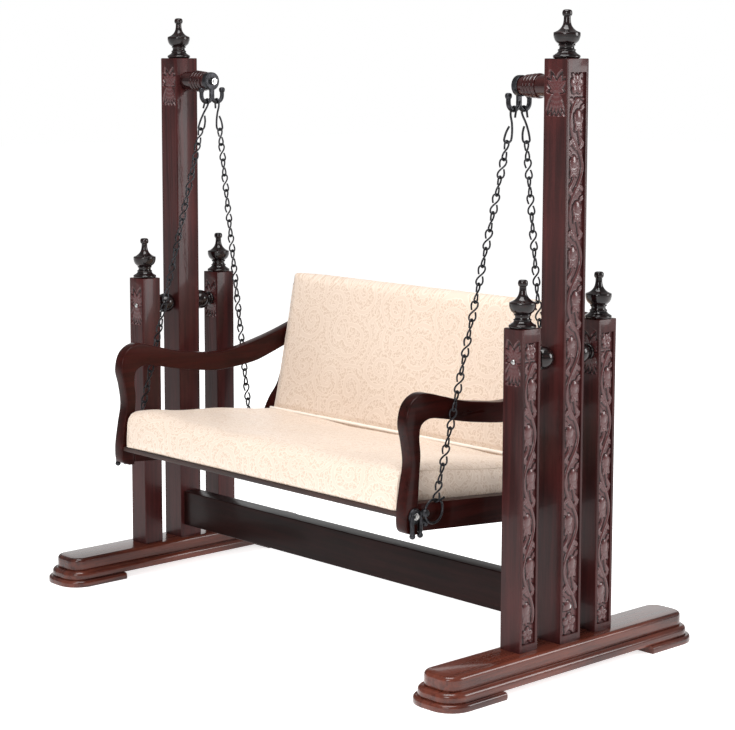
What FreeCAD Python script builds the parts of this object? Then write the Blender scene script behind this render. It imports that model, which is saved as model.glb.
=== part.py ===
# Jhoola swing: two carved post frames on moulded feet carry a cushioned bench on four chains.
# Millimetres. X runs along the bench, Y from front to back, Z up, origin on the floor at the centre.
import FreeCAD, Part
import math
import os

import Sketcher
from FreeCAD import Placement, Rotation, Vector

doc = FreeCAD.newDocument("jhoola_swing")
sheet = doc.addObject("Spreadsheet::Sheet", "sizes")

sizes = {
    # Posts and feet
    "tall_post_centre": 878,
    "tall_post_side": 88,
    "tall_post_top": 1750,
    "short_post_side": 74,
    "short_post_top": 1008,
    "post_gap": 80,
    "pad_thickness": 22,
    "middle_board_thickness": 28,
    "top_board_thickness": 41,
    "top_board_half_width": 65,
    "top_board_half_length": 507,
    "foot_step": 18,
    "pad_step": 13,
    "pad_length": 222,
    "foot_corner_radius": 45,
    "top_board_bevel": 9,
    "middle_board_bevel": 8,
    "pad_bevel": 5,
    # Panels let into the outer faces for the carving
    "panel_depth": 4,
    "panel_border": 10,
    "panel_top_margin": 38,
    "panel_bottom_margin": 22,
    # Finials, and the turned balls between the posts
    "finial_height": 135,
    "finial_radius": 39,
    "ball_radius": 33,
    "ball_height": 915,
    "collar_radius": 23,
    "collar_length": 18,
    # Stretcher
    "stretcher_thickness": 27,
    "stretcher_width": 119,
    "stretcher_bottom": 134,
    # Bosses, pivot bolts and double hooks
    "pivot_drop": 77,
    "boss_radius": 36,
    "pivot_bolt_radius": 6,
    "pivot_bolt_grip": 60,
    "pivot_bolt_end": 3,
    "pivot_nut_radius": 12,
    "pivot_nut_height": 11,
    "hang_plane": 700,
    "hook_thickness": 9,
    "hook_eye_radius": 20,
    "hook_bar_radius": 7,
    "hook_arm_radius": 22,
    "hook_drop": 69,
    "hook_rise": 16,
    "hook_knob_radius": 10,
    "hook_knob_length": 18,
    # Chains and the pieces that end them
    "top_hook_length": 96,
    "top_hook_wire_radius": 3.2,
    "top_hook_loop_radius": 9,
    "top_hook_end": 22,
    "link_wire_radius": 2.5,
    "link_pitch": 53.5,
    "link_half_width": 10,
    "link_twist_angle": 20,
    "ring_radius": 34,
    "ring_wire_radius": 3.5,
    "ring_tail": 22,
    # Arms and side rails
    "arm_outer_face": 685,
    "arm_thickness": 40,
    "arm_front": -431,
    "arm_drop": 65,
    "arm_height": 398,
    "rail_width": 80,
    "rail_drop": 12.6,
    "rail_front": -378,
    "rail_back": 175,
    # Seat, which slopes down to the back
    "seat_angle": 4.5,
    "seat_front": -424,
    "seat_front_height": 489,
    "seat_depth": 605,
    "seat_board_thickness": 14,
    "seat_board_depth": 690,
    "batten_width": 60,
    "batten_thickness": 26,
    "seat_cushion_thickness": 120,
    "seat_cushion_back_thickness": 102,
    "seat_cushion_round": 30,
    "seat_crown": 12,
    "cushion_side_gap": 3,
    "cushion_draw": 8,
    # Back, which leans from the seam where it meets the seat
    "back_front": 204,
    "back_angle": 12.2,
    "back_rise": 485,
    "back_foot_length": 90,
    "back_cushion_thickness": 66,
    "back_cushion_round": 16,
    "back_crown": 9,
    "back_panel_thickness": 12,
    "back_rail_thickness": 22,
    "back_rail_width": 62,
    "back_post_width": 58,
    "back_post_set_back": 48,
    "back_post_top": 470,
    "back_foot_width": 74,
    "arm_joint_rise": 242,
    "arm_joint_width": 68,
    # Corner rings and the iron fittings that hold them
    "front_ring_place": -334,
    "front_ring_rise": 5,
    "rear_ring_place": 165,
    "rear_ring_rise": -1.6,
    "fitting_reach": 62,
    "fitting_drop": 8,
    "fitting_radius": 19,
    "fitting_thickness": 9,
    "ear_radius": 9,
    "ear_height": 10,
    "prong_radius": 5.5,
    "prong_length": 54,
    "prong_spacing": 30,
    "prong_knob_radius": 8,
    "corner_nut_radius": 10,
    # Fits
    "running_gap": 0.4,
    "bolt_clearance": 0.3,
    "link_gap": 0.3,
}
for row, (alias, value) in enumerate(sizes.items(), start=1):
    sheet.set(f"A{row}", alias)
    sheet.set(f"B{row}", str(value))
    sheet.setAlias(f"B{row}", alias)
doc.recompute()

SIDES = {"left": -1, "right": 1}
ENDS = {"front": -1, "rear": 1}
TURNED_SIDES = 16
KNOB_SIDES = 8
nodes = {}


def size(alias):
    return float(sheet.get(alias))


def keep(piece, label):
    piece.Label = label
    nodes[label] = piece
    return piece


def along_x(sign):
    return Rotation(Vector(0, 1, 0), 90 * sign)


def along_y(sign):
    return Rotation(Vector(1, 0, 0), -90 * sign)


def place(piece, x="0", y="0", z="0", turn=Rotation()):
    """Stand a piece at a point given by three formulas of the sheet."""
    piece.Placement = Placement(Vector(), turn)
    for axis, formula in zip("xyz", (x, y, z)):
        piece.setExpression(f"Placement.Base.{axis}", formula)
    return piece


def box(name, sides, corner):
    block = doc.addObject("Part::Box", name)
    for prop, formula in zip(("Length", "Width", "Height"), sides):
        block.setExpression(prop, formula)
    return place(block, *corner)


def rod(name, radius, length, x, y, z, turn=Rotation()):
    cylinder = doc.addObject("Part::Cylinder", name)
    cylinder.setExpression("Radius", radius)
    cylinder.setExpression("Height", length)
    return place(cylinder, x, y, z, turn)


def hexagon(name, radius, height, x, y, z, turn=Rotation()):
    prism = doc.addObject("Part::Prism", name)
    prism.Polygon = 6
    prism.setExpression("Circumradius", radius)
    prism.setExpression("Height", height)
    return place(prism, x, y, z, turn)


def fuse(name, pieces):
    joined = doc.addObject("Part::MultiFuse", name)
    joined.Shapes = pieces
    return joined


def cut(name, base, tools):
    carved = doc.addObject("Part::Cut", name)
    carved.Base = base
    carved.Tool = tools[0] if len(tools) == 1 else fuse(f"{name}_tools", tools)
    return carved


def group(name, pieces):
    together = doc.addObject("Part::Compound", name)
    together.Links = pieces
    return together


def free_shape(name, shape):
    piece = doc.addObject("Part::Feature", name)
    piece.Shape = shape
    return piece


STRAIGHT_SHARE = 0.001
NEARLY = 0.01


def end_heading(here, there, heading):
    """The heading at one end of a chord that mirrors the heading at its other end."""
    along = (there - here).normalize()
    return along * 2 * heading.dot(along) - heading


def arc_middle(start, end, heading):
    """Middle point of the arc that leaves start along heading and stops at end."""
    chord = end - start
    along = chord / chord.Length
    aside = heading - along * heading.dot(along)
    if aside.Length < STRAIGHT_SHARE:
        return start + chord / 2
    bulge = chord.Length / 2 * math.tan(heading.getAngle(chord) / 2)
    return start + chord / 2 + aside.normalize() * bulge


class Outline:
    """Lines, arcs and smooth curves that follow one another round a closed outline."""

    def __init__(self, x, y):
        self.start = Vector(x, y, 0)
        self.at = self.start
        self.curves = []

    def add(self, curve, end):
        self.curves.append(curve)
        self.at = end
        return self

    def line(self, x, y):
        end = Vector(x, y, 0)
        return self.add(Part.LineSegment(self.at, end), end)

    def lines(self, points):
        for point in points:
            self.line(*point)
        return self

    def arc(self, via, to):
        end = Vector(*to, 0)
        return self.add(Part.Arc(self.at, Vector(*via, 0), end), end)

    def smooth(self, points):
        """Run through points in pairs of arcs that meet without a corner."""
        places = [self.at] + [Vector(*point, 0) for point in points]
        headings = []
        for before, here, after in zip(places, places[1:], places[2:]):
            back = here - before
            ahead = after - here
            headings.append((back / back.Length**2 + ahead / ahead.Length**2).normalize())
        headings.insert(0, end_heading(places[0], places[1], headings[0]))
        headings.append(end_heading(places[-2], places[-1], headings[-1]))
        for place, leaving, arriving in zip(places[1:], headings, headings[1:]):
            self.arc_pair(place, leaving, arriving)
        return self

    def arc_pair(self, end, leaving, arriving):
        """Two arcs with given headings at their outer ends and a common one between."""
        chord = end - self.at
        turn = 1 - leaving.dot(arriving)
        both = chord.dot(leaving + arriving)
        reach = chord.dot(chord) / (both + math.sqrt(both**2 + 2 * turn * chord.dot(chord)))
        middle = (self.at + leaving * reach + end - arriving * reach) / 2
        self.bend(arc_middle(self.at, middle, leaving), middle)
        return self.bend(arc_middle(end, middle, arriving * -1), end)

    def bend(self, via, end):
        chord = end - self.at
        bulge = (via - self.at - chord / 2).Length
        if bulge < chord.Length * STRAIGHT_SHARE:
            return self.line(end.x, end.y)
        return self.add(Part.Arc(self.at, via, end), end)

    def close(self):
        return self.line(self.start.x, self.start.y)


def sketch(body, role, outline):
    """Draw an outline on an origin plane of a body and join its neighbouring ends."""
    drawing = body.newObject("Sketcher::SketchObject", f"{body.Name}_outline")
    plane = next(feature for feature in body.Origin.OriginFeatures if feature.Role == role)
    drawing.AttachmentSupport = (plane, [""])
    drawing.MapMode = "FlatFace"
    for curve in outline.curves:
        drawing.addGeometry(curve, False)
    count = len(outline.curves)
    for index in range(count):
        following = (index + 1) % count
        pairs = [(own, other) for own in (1, 2) for other in (1, 2)]
        own, other = min(
            pairs,
            key=lambda ends: (
                drawing.getPoint(index, ends[0]) - drawing.getPoint(following, ends[1])
            ).Length,
        )
        joint = Sketcher.Constraint("Coincident", index, own, following, other)
        drawing.addConstraint(joint)
    return drawing


def pad(name, role, outline, length, symmetric=False):
    body = doc.addObject("PartDesign::Body", name)
    feature = body.newObject("PartDesign::Pad", f"{name}_pad")
    feature.Profile = sketch(body, role, outline)
    feature.SideType = "Symmetric" if symmetric else "One side"
    feature.setExpression("Length", length)
    body.Tip = feature
    doc.recompute()
    return body


def dress(body, kind, prop, formula, chosen):
    """Round or bevel the edges of a body's last feature for which chosen(edge) holds."""
    tip = body.Tip
    names = [
        f"Edge{number}"
        for number, edge in enumerate(tip.Shape.Edges, start=1)
        if chosen(edge)
    ]
    feature = body.newObject(f"PartDesign::{kind}", f"{body.Name}_{kind.lower()}")
    feature.Base = (tip, names)
    feature.setExpression(prop, formula)
    body.Tip = feature
    doc.recompute()
    return body


def turning(shares, radius, height, sides, bore=0):
    """A turned solid on the Z axis, with flat facets round it, from shares of radius and height."""
    outer = [(radius * across, height * up) for across, up in shares]
    profile = outer + ([(bore, height), (bore, 0)] if bore else [])
    closing = [outer[0]] if bore else []
    rings = []
    for across, up in profile + closing:
        angles = [2 * math.pi * (step + 0.5) / sides for step in range(sides + 1)]
        rings.append([Vector(across * math.cos(turn), across * math.sin(turn), up) for turn in angles])
    faces = []
    for low, high in zip(rings, rings[1:]):
        for step in range(sides):
            corners = [low[step], low[step + 1], high[step + 1], high[step], low[step]]
            faces.append(Part.Face(Part.makePolygon(corners)))
    if not bore:
        faces += [Part.Face(Part.makePolygon(ring)) for ring in (rings[0], rings[-1])]
    return Part.Solid(Part.Shell(faces))


def stand_at(solid, foot, direction):
    """A copy of a solid, its foot moved to a point and its Z axis turned to a direction."""
    copy = solid.copy()
    copy.Placement = Placement(foot, Rotation(Vector(0, 0, 1), direction))
    return copy


def wire_sweep(points, radius, sides, up):
    """Sweep a regular polygon along straight runs that mitre where they meet."""
    along = (points[1] - points[0]).normalize()
    across = along.cross(up).normalize()
    upright = across.cross(along)
    corners = []
    for step in range(sides + 1):
        angle = 2 * math.pi * step / sides
        spoke = across * math.cos(angle) + upright * math.sin(angle)
        corners.append(points[0] + spoke * radius)
    pipe = Part.BRepOffsetAPI.MakePipeShell(Part.makePolygon(points))
    pipe.setTransitionMode(1)
    pipe.add(Part.makePolygon(corners))
    pipe.build()
    pipe.makeSolid()
    return pipe.shape()


def bend(centre, radius, first, last, steps, level, rise):
    """Points of straight runs that touch a circle from outside, between two angles in degrees."""
    turn = (last - first) / steps
    reach = radius / math.cos(math.radians(turn / 2))
    places = [(first, radius)]
    places += [(first + turn * (step + 0.5), reach) for step in range(steps)]
    places += [(last, radius)]
    points = []
    for angle, distance in places:
        spoke = level * math.cos(math.radians(angle)) + rise * math.sin(math.radians(angle))
        points.append(centre + spoke * distance)
    return points


def knob(radius, length, foot, direction):
    """A ball end that starts at foot and runs along direction."""
    knob_shares = [(0.62, 0), (1, 0.33), (1, 0.67), (0.55, 1)]
    return stand_at(turning(knob_shares, radius, length, KNOB_SIDES), foot, direction)


# Feet: a top board, a middle board and two pads, each with rounded corners

TOP_BOARD_TOP = "(sizes.pad_thickness + sizes.middle_board_thickness + sizes.top_board_thickness)"
POST_FOOT = size("pad_thickness") + size("middle_board_thickness") + size("top_board_thickness")


def board_plan(half_width, half_length, radius, back_end=None):
    """A long plan with rounded corners; with back_end only the corners before it are round."""
    bulge = radius * (1 - math.sqrt(0.5))
    side = half_length - radius
    plan = Outline(half_width, -side if back_end is None else back_end)
    if back_end is None:
        plan.line(half_width, side)
        plan.arc((half_width - bulge, half_length - bulge), (half_width - radius, half_length))
        plan.line(radius - half_width, half_length)
        plan.arc((bulge - half_width, half_length - bulge), (-half_width, side))
    else:
        plan.line(-half_width, back_end)
    plan.line(-half_width, -side)
    plan.arc((bulge - half_width, bulge - half_length), (radius - half_width, -half_length))
    plan.line(half_width - radius, -half_length)
    plan.arc((half_width - bulge, bulge - half_length), (half_width, -side))
    if back_end is not None:
        plan.close()
    return plan


def top_edges_except(height, back_end=None):
    """Chooses the edges round the top of a board, but not the one across its cut end."""

    def chosen(edge):
        box_of = edge.BoundBox
        flat_top = box_of.ZMin > height - NEARLY and box_of.ZLength < NEARLY
        across_cut = back_end is not None and box_of.YMin > back_end - NEARLY
        return flat_top and not across_cut

    return chosen


def make_feet():
    top_width = size("top_board_half_width")
    top_length = size("top_board_half_length")
    step = size("foot_step")
    pad_step = step + size("pad_step")
    radius = size("foot_corner_radius")
    pad_end = -(top_length + pad_step - size("pad_length"))
    for side, sign in SIDES.items():
        centre = f"{sign} * sizes.tall_post_centre"
        top = pad(
            f"{side}_foot_top_board",
            "XY_Plane",
            board_plan(top_width, top_length, radius),
            "sizes.top_board_thickness",
        )
        dress(top, "Chamfer", "Size", "sizes.top_board_bevel", top_edges_except(size("top_board_thickness")))
        place(top, centre, "0", "sizes.pad_thickness + sizes.middle_board_thickness")
        keep(top, f"{side}_foot_top")
        middle = pad(
            f"{side}_foot_middle_board",
            "XY_Plane",
            board_plan(top_width + step, top_length + step, radius + step),
            "sizes.middle_board_thickness",
        )
        dress(
            middle,
            "Chamfer",
            "Size",
            "sizes.middle_board_bevel",
            top_edges_except(size("middle_board_thickness")),
        )
        place(middle, centre, "0", "sizes.pad_thickness")
        keep(middle, f"{side}_foot_middle")
        for end, way in ENDS.items():
            plan = board_plan(top_width + pad_step, top_length + pad_step, radius + pad_step, pad_end)
            block = pad(f"{side}_{end}_pad_board", "XY_Plane", plan, "sizes.pad_thickness")
            dress(
                block,
                "Chamfer",
                "Size",
                "sizes.pad_bevel",
                top_edges_except(size("pad_thickness"), pad_end),
            )
            half_turn = Rotation(Vector(0, 0, 1), 90 + 90 * way)
            place(block, centre, "0", "0", half_turn)
            keep(block, f"{side}_{end}_pad")


# Posts: square timber with a panel let into the outer face for the carving

INNER_FACE = "(sizes.tall_post_centre - sizes.tall_post_side / 2)"
PIVOT_HEIGHT = "(sizes.tall_post_top - sizes.pivot_drop)"
SHORT_CENTRE = f"({INNER_FACE} + sizes.short_post_side / 2)"
SHORT_PLACE = "(sizes.tall_post_side / 2 + sizes.post_gap + sizes.short_post_side / 2)"


def post(name, side_alias, top_alias, sign, centre, place_y, bores):
    """A post from the foot to its top with its carving panel and its bores cut away."""
    width = f"sizes.{side_alias}"
    outer = f"{sign} * ({centre} + {width} / 2)"
    start = f"{sign} * {centre} - {width} / 2"
    timber = box(
        f"{name}_timber",
        (width, width, f"sizes.{top_alias} - {TOP_BOARD_TOP}"),
        (start, f"{place_y} - {width} / 2", TOP_BOARD_TOP),
    )
    panel = box(
        f"{name}_panel",
        (
            "2 * sizes.panel_depth",
            f"{width} - 2 * sizes.panel_border",
            f"sizes.{top_alias} - {TOP_BOARD_TOP} - sizes.panel_top_margin - sizes.panel_bottom_margin",
        ),
        (
            f"{outer} - sizes.panel_depth",
            f"{place_y} - {width} / 2 + sizes.panel_border",
            f"{TOP_BOARD_TOP} + sizes.panel_bottom_margin",
        ),
    )
    return keep(cut(f"{name}_post", timber, [panel] + bores), name)


def make_posts():
    for side, sign in SIDES.items():
        pivot_bore = rod(
            f"{side}_pivot_bore",
            "sizes.pivot_bolt_radius + sizes.bolt_clearance",
            "sizes.pivot_bolt_grip + sizes.bolt_clearance",
            f"{sign} * {INNER_FACE}",
            "0",
            PIVOT_HEIGHT,
            along_x(sign),
        )
        post(
            f"{side}_tall_post",
            "tall_post_side",
            "tall_post_top",
            sign,
            "sizes.tall_post_centre",
            "0",
            [pivot_bore],
        )
        for end, way in ENDS.items():
            post(
                f"{side}_{end}_post",
                "short_post_side",
                "short_post_top",
                sign,
                SHORT_CENTRE,
                f"{way} * {SHORT_PLACE}",
                [],
            )


# Turned pieces


def make_finials():
    """A base roll, a waisted neck, a bowl with a sharp rim, a flared stem and a button."""
    finial_shares = [(0.86, 0), (1, 0.035), (0.94, 0.09), (0.58, 0.15), (0.54, 0.28), (0.84, 0.36)]
    finial_shares += [(0.98, 0.5), (0.56, 0.58), (0.27, 0.72), (0.24, 0.87), (0.38, 0.92)]
    finial_shares += [(0.36, 0.97), (0.24, 1)]
    one = turning(finial_shares, size("finial_radius"), size("finial_height"), TURNED_SIDES)
    short_centre = size("tall_post_centre") - (size("tall_post_side") - size("short_post_side")) / 2
    short_place = size("post_gap") + (size("tall_post_side") + size("short_post_side")) / 2
    finials = []
    for sign in SIDES.values():
        top = Vector(sign * size("tall_post_centre"), 0, size("tall_post_top"))
        finials.append(stand_at(one, top, Vector(0, 0, 1)))
        for way in ENDS.values():
            top = Vector(sign * short_centre, way * short_place, size("short_post_top"))
            finials.append(stand_at(one, top, Vector(0, 0, 1)))
    keep(free_shape("finial_set", Part.makeCompound(finials)), "finials")


def make_spindles():
    """A ball that stands on the tall post and a collar that meets the short one."""
    ball = size("ball_radius")
    gap = size("post_gap")
    middle = (gap - size("collar_length")) / 2
    edge = math.asin(middle / ball)
    bands = 6
    spindle_shares = []
    for step in range(bands + 1):
        angle = edge * (2 * step / bands - 1)
        spindle_shares.append((math.cos(angle), (middle + ball * math.sin(angle)) / gap))
    collar = size("collar_radius") / ball
    spindle_shares += [(collar * 0.75, 2 * middle / gap), (collar, 0.85), (collar, 0.95), (collar * 0.85, 1)]
    one = turning(spindle_shares, ball, gap, TURNED_SIDES)
    centre = size("tall_post_centre") - (size("tall_post_side") - size("short_post_side")) / 2
    spindles = []
    for sign in SIDES.values():
        for way in ENDS.values():
            foot = Vector(sign * centre, way * size("tall_post_side") / 2, size("ball_height"))
            spindles.append(stand_at(one, foot, Vector(0, way, 0)))
    keep(free_shape("spindle_set", Part.makeCompound(spindles)), "spindles")


# Stretcher between the tall posts


def make_stretcher():
    board = box(
        "stretcher_board",
        (f"2 * {INNER_FACE}", "sizes.stretcher_thickness", "sizes.stretcher_width"),
        (f"-{INNER_FACE}", "-sizes.stretcher_thickness / 2", "sizes.stretcher_bottom"),
    )
    keep(board, "stretcher")


# Bosses on the tall posts, with the bolts that the hooks turn on

NUT_FACE = "(sizes.hang_plane - sizes.hook_thickness / 2 - sizes.running_gap)"


def make_bosses():
    """A plain barrel, three beads, a neck and an end flange, bored for the pivot bolt."""
    boss_shares = [(0.88, 0), (0.88, 0.38), (1, 0.42), (1, 0.48), (0.84, 0.53), (0.95, 0.59)]
    boss_shares += [(0.8, 0.65), (0.9, 0.71), (0.7, 0.78), (0.7, 0.87), (0.86, 0.92), (0.82, 1)]
    face = size("tall_post_centre") - size("tall_post_side") / 2
    length = face - size("hang_plane") - size("hook_thickness") / 2 - size("running_gap")
    bore = size("pivot_bolt_radius") + 2 * size("bolt_clearance")
    one = turning(boss_shares, size("boss_radius"), length, TURNED_SIDES, bore)
    bosses = []
    bolts = []
    nuts = []
    for side, sign in SIDES.items():
        foot = Vector(sign * face, 0, size("tall_post_top") - size("pivot_drop"))
        bosses.append(stand_at(one, foot, Vector(-sign, 0, 0)))
        bolts.append(
            rod(
                f"{side}_pivot_bolt",
                "sizes.pivot_bolt_radius",
                f"{INNER_FACE} + sizes.pivot_bolt_grip - {NUT_FACE} + sizes.pivot_nut_height"
                " + sizes.pivot_bolt_end",
                f"{sign} * ({NUT_FACE} - sizes.pivot_nut_height - sizes.pivot_bolt_end)",
                "0",
                PIVOT_HEIGHT,
                along_x(sign),
            )
        )
        nut_end = f"{sign} * ({NUT_FACE} - sizes.pivot_nut_height)"
        blank = hexagon(
            f"{side}_pivot_nut_blank",
            "sizes.pivot_nut_radius",
            "sizes.pivot_nut_height",
            nut_end,
            "0",
            PIVOT_HEIGHT,
            along_x(sign),
        )
        bore = rod(
            f"{side}_pivot_nut_bore",
            "sizes.pivot_bolt_radius + sizes.bolt_clearance",
            "sizes.pivot_nut_height",
            nut_end,
            "0",
            PIVOT_HEIGHT,
            along_x(sign),
        )
        nuts.append(cut(f"{side}_pivot_nut", blank, [bore]))
    keep(free_shape("boss_set", Part.makeCompound(bosses)), "bosses")
    keep(group("pivot_bolt_set", bolts), "pivot_bolts")
    keep(group("pivot_nut_set", nuts), "pivot_nuts")


# Double hooks: a flat shank with an eye on the pivot bolt and two arms that end in knobs


def double_hook():
    """The hook about its own pivot, with the arms in the plane of Y and Z."""
    thickness = size("hook_thickness")
    eye = size("hook_eye_radius")
    bar = size("hook_bar_radius")
    arm = size("hook_arm_radius")
    trough = -size("hook_drop")
    waist_share, shank_end_share = 0.42, 0.85
    shank_end = Vector(0, bar, trough * shank_end_share)
    waist = Vector(0, eye * waist_share, trough / 2)
    cheek = Vector(0, eye * math.cos(math.radians(20)), -eye * math.sin(math.radians(20)))

    def mirrored(point):
        return Vector(point.x, -point.y, point.z)

    rim = [
        Part.Arc(cheek, Vector(0, 0, eye), mirrored(cheek)).toShape(),
        Part.makePolygon([mirrored(cheek), mirrored(waist), mirrored(shank_end)]),
        Part.makePolygon([mirrored(shank_end), shank_end, waist, cheek]),
    ]
    edges = [edge for part in rim for edge in part.Edges]
    plate = Part.Face(Part.Wire(edges)).extrude(Vector(thickness, 0, 0))
    plate.translate(Vector(-thickness / 2, 0, 0))
    hook = plate
    for way in ENDS.values():
        level = Vector(0, way, 0)
        up = Vector(0, 0, 1)
        centre = Vector(0, way * arm, trough + arm)
        points = bend(centre, arm, 180, 360, 6, level, up)
        tip = points[-1] + up * size("hook_rise")
        hook = hook.fuse(wire_sweep(points + [tip], bar, 8, Vector(1, 0, 0)))
        hook = hook.fuse(knob(size("hook_knob_radius"), size("hook_knob_length"), tip - up * bar, up))
    bore = Part.makeCylinder(
        size("pivot_bolt_radius") + size("running_gap"),
        thickness * 2,
        Vector(-thickness, 0, 0),
        Vector(1, 0, 0),
    )
    return hook.cut(bore).removeSplitter()


# Height that the bench's timber, rings and cushions are measured from


def seat_line(y):
    """Height of the sloping seat board's top face at a place along Y."""
    fall = math.tan(math.radians(size("seat_angle"))) * (y - size("seat_front"))
    return size("seat_front_height") - fall


# Chains: a long S hook at the top, S links turned a quarter each, an open ring at the bench


def top_hook(centre, down, across):
    """The long S hook: one open loop over the bar at centre and one teardrop loop below."""
    wire = size("top_hook_wire_radius")
    loop = size("top_hook_loop_radius")
    over = size("hook_bar_radius") + wire + size("link_gap")
    lower = centre + down * (size("top_hook_length") - loop)
    teardrop_share, lip_share, crossing_share = 0.68, 0.62, 0.16
    length = size("top_hook_length")
    points = [centre + across * over + down * size("top_hook_end")]
    points += bend(centre, over, 0, 180, 4, across, -down)
    points += [centre - across * over + down * length * crossing_share]
    points += [centre + across * loop + down * length * teardrop_share]
    points += bend(lower, loop, 0, 180, 4, across, down)
    points += [centre - across * loop / 2 + down * length * lip_share]
    return wire_sweep(points, wire, 6, down.cross(across))


def link(half_length):
    """One S link along Z in the plane of X and Z: two teardrop loops of a single wire."""
    half_width = size("link_half_width")
    link_shares = [(-1, -0.16), (-1, 0.62), (-0.5, 1), (0.5, 1), (1, 0.62)]
    link_shares += [(-across, -up) for across, up in link_shares]
    points = [Vector(half_width * across, 0, half_length * up) for across, up in link_shares]
    return wire_sweep(points, size("link_wire_radius"), 4, Vector(0, 1, 0))


def chain(trough, ring_centre):
    """The links between a top hook and a ring, each a quarter turn from its neighbours.

    The two end links take half the twist, so they cross the hook and the ring clear of both.
    """
    along = ring_centre - trough
    down = Vector(along).normalize()
    wire = size("link_wire_radius")
    gap = size("link_gap")
    first = size("top_hook_length") - size("top_hook_wire_radius") - wire - gap
    last = along.Length - size("ring_radius") + size("ring_wire_radius") + wire + gap
    overlap = 2 * wire + gap
    pairs = round((last - first - overlap) / (2 * size("link_pitch")))
    count = 2 * pairs
    pitch = (last - first - overlap) / count
    one = link((pitch + overlap) / 2)
    hang = Rotation(Vector(0, 0, -1), down)
    links = []
    for number in range(count):
        at_an_end = number in (0, count - 1)
        twist = size("link_twist_angle") / (2 if at_an_end else 1)
        quarter = Rotation(Vector(0, 0, 1), twist + 90 * ((number + 1) % 2))
        centre = trough + down * (first + (pitch + overlap) / 2 + pitch * number)
        copy = one.copy()
        copy.Placement = Placement(centre, hang.multiply(quarter))
        links.append(copy)
    return Part.makeCompound(links)


def corner_ring(centre, way):
    """An open ring in the plane of Y and Z whose free end stands away towards the bench's middle."""
    away = Vector(0, -way, 0)
    up = Vector(0, 0, 1)
    opening, reach = 52, 320
    tail_slope_share = 0.33
    points = bend(centre, size("ring_radius"), opening, opening + reach, 11, away, up)
    tail = points[0] + (away + up * tail_slope_share).normalize() * size("ring_tail")
    return wire_sweep([tail] + points, size("ring_wire_radius"), 6, Vector(1, 0, 0))


def ring_centre(sign, end):
    y = size(f"{end}_ring_place")
    return Vector(sign * size("hang_plane"), y, seat_line(y) + size(f"{end}_ring_rise"))


def trough_point(sign, way):
    height = size("tall_post_top") - size("pivot_drop") - size("hook_drop")
    return Vector(sign * size("hang_plane"), way * size("hook_arm_radius"), height)


def make_hanging():
    for side, sign in SIDES.items():
        hook = free_shape(f"{side}_hook_casting", double_hook())
        place(hook, f"{sign} * sizes.hang_plane", "0", PIVOT_HEIGHT)
        keep(hook, f"{side}_double_hook")
        top_hooks = []
        rings = []
        for end, way in ENDS.items():
            trough = trough_point(sign, way)
            ring = ring_centre(sign, end)
            down = (ring - trough).normalize()
            top_hooks.append(top_hook(trough, down, Vector(sign, 0, 0)))
            rings.append(corner_ring(ring, way))
            keep(free_shape(f"{side}_{end}_links", chain(trough, ring)), f"{side}_{end}_chain")
        keep(free_shape(f"{side}_top_hook_pair", Part.makeCompound(top_hooks)), f"{side}_top_hooks")
        keep(free_shape(f"{side}_ring_pair", Part.makeCompound(rings)), f"{side}_rings")


# Corner fittings: a bolted disc with an ear round the ring and two prongs that end in knobs


def fitting(sign, end):
    """One iron fitting in place: disc, web, ear and two prongs in one casting."""
    way = ENDS[end]
    face = size("arm_outer_face")
    thickness = size("fitting_thickness")
    outward = Vector(sign, 0, 0)
    up = Vector(0, 0, 1)
    ring = ring_centre(sign, end)
    centre = ring + Vector(0, way * size("fitting_reach"), -size("fitting_drop"))
    centre.x = sign * face
    disc = turning([(1, 0), (1, 0.7), (0.88, 1)], size("fitting_radius"), thickness, TURNED_SIDES)
    iron = stand_at(disc, centre, outward)
    ear_height = size("ear_height")
    bore_radius = size("ring_wire_radius") + 2 * size("running_gap")
    hole = ring + Vector(0, way * size("ring_radius"), -ear_height / 2)
    ear_ends = [hole, hole + up * ear_height]
    ear = wire_sweep(ear_ends, size("ear_radius"), 8, outward)
    bore = wire_sweep(ear_ends, bore_radius, 8, outward)
    near = centre.y - way * (size("corner_nut_radius") + size("bolt_clearance"))
    far = hole.y + way * bore_radius
    reach = size("hang_plane") - face + size("ear_radius") / 2
    web = Part.makeBox(reach, abs(near - far), ear_height)
    web.translate(Vector(min(sign * face, sign * (face + reach)), min(near, far), hole.z))
    iron = iron.fuse([ear, web]).cut(bore)
    radius = size("prong_radius")
    ball_radius = size("prong_knob_radius")
    length = size("prong_length")
    for offset in (-1, 1):
        top = centre + outward * thickness
        top.y += offset * size("prong_spacing") / 2
        prong = wire_sweep([top, top - up * length], radius, 8, outward)
        ball = knob(ball_radius, 2 * ball_radius, top - up * (length - ball_radius), up * -1)
        iron = iron.fuse([prong, ball])
    return iron.removeSplitter()


def make_fittings():
    castings = [fitting(sign, end) for sign in SIDES.values() for end in ENDS]
    keep(free_shape("casting_set", Part.makeCompound(castings)), "corner_fittings")


# Bench timber


def back_point(rise, depth):
    """Y and Z of a point given up the leaning back from the seam and behind its front face."""
    lean = math.radians(size("back_angle"))
    slope = math.radians(size("seat_angle"))
    seam = seat_line(size("back_front")) + size("seat_cushion_back_thickness") / math.cos(slope)
    y = size("back_front") + rise * math.sin(lean) + depth * math.cos(lean)
    z = seam + rise * math.cos(lean) - depth * math.sin(lean)
    return (y, z)


def seat_point(depth, rise):
    """Y and Z of a point given back along the sloping seat board and above its top face."""
    slope = math.radians(size("seat_angle"))
    y = size("seat_front") + depth * math.cos(slope) + rise * math.sin(slope)
    z = size("seat_front_height") - depth * math.sin(slope) + rise * math.cos(slope)
    return (y, z)


def rail_height(y, share):
    """Height of the side rail at a place along it; share runs from -1 at the bottom to 1."""
    return seat_line(y) - size("rail_drop") + share * size("rail_width") / 2


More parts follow.
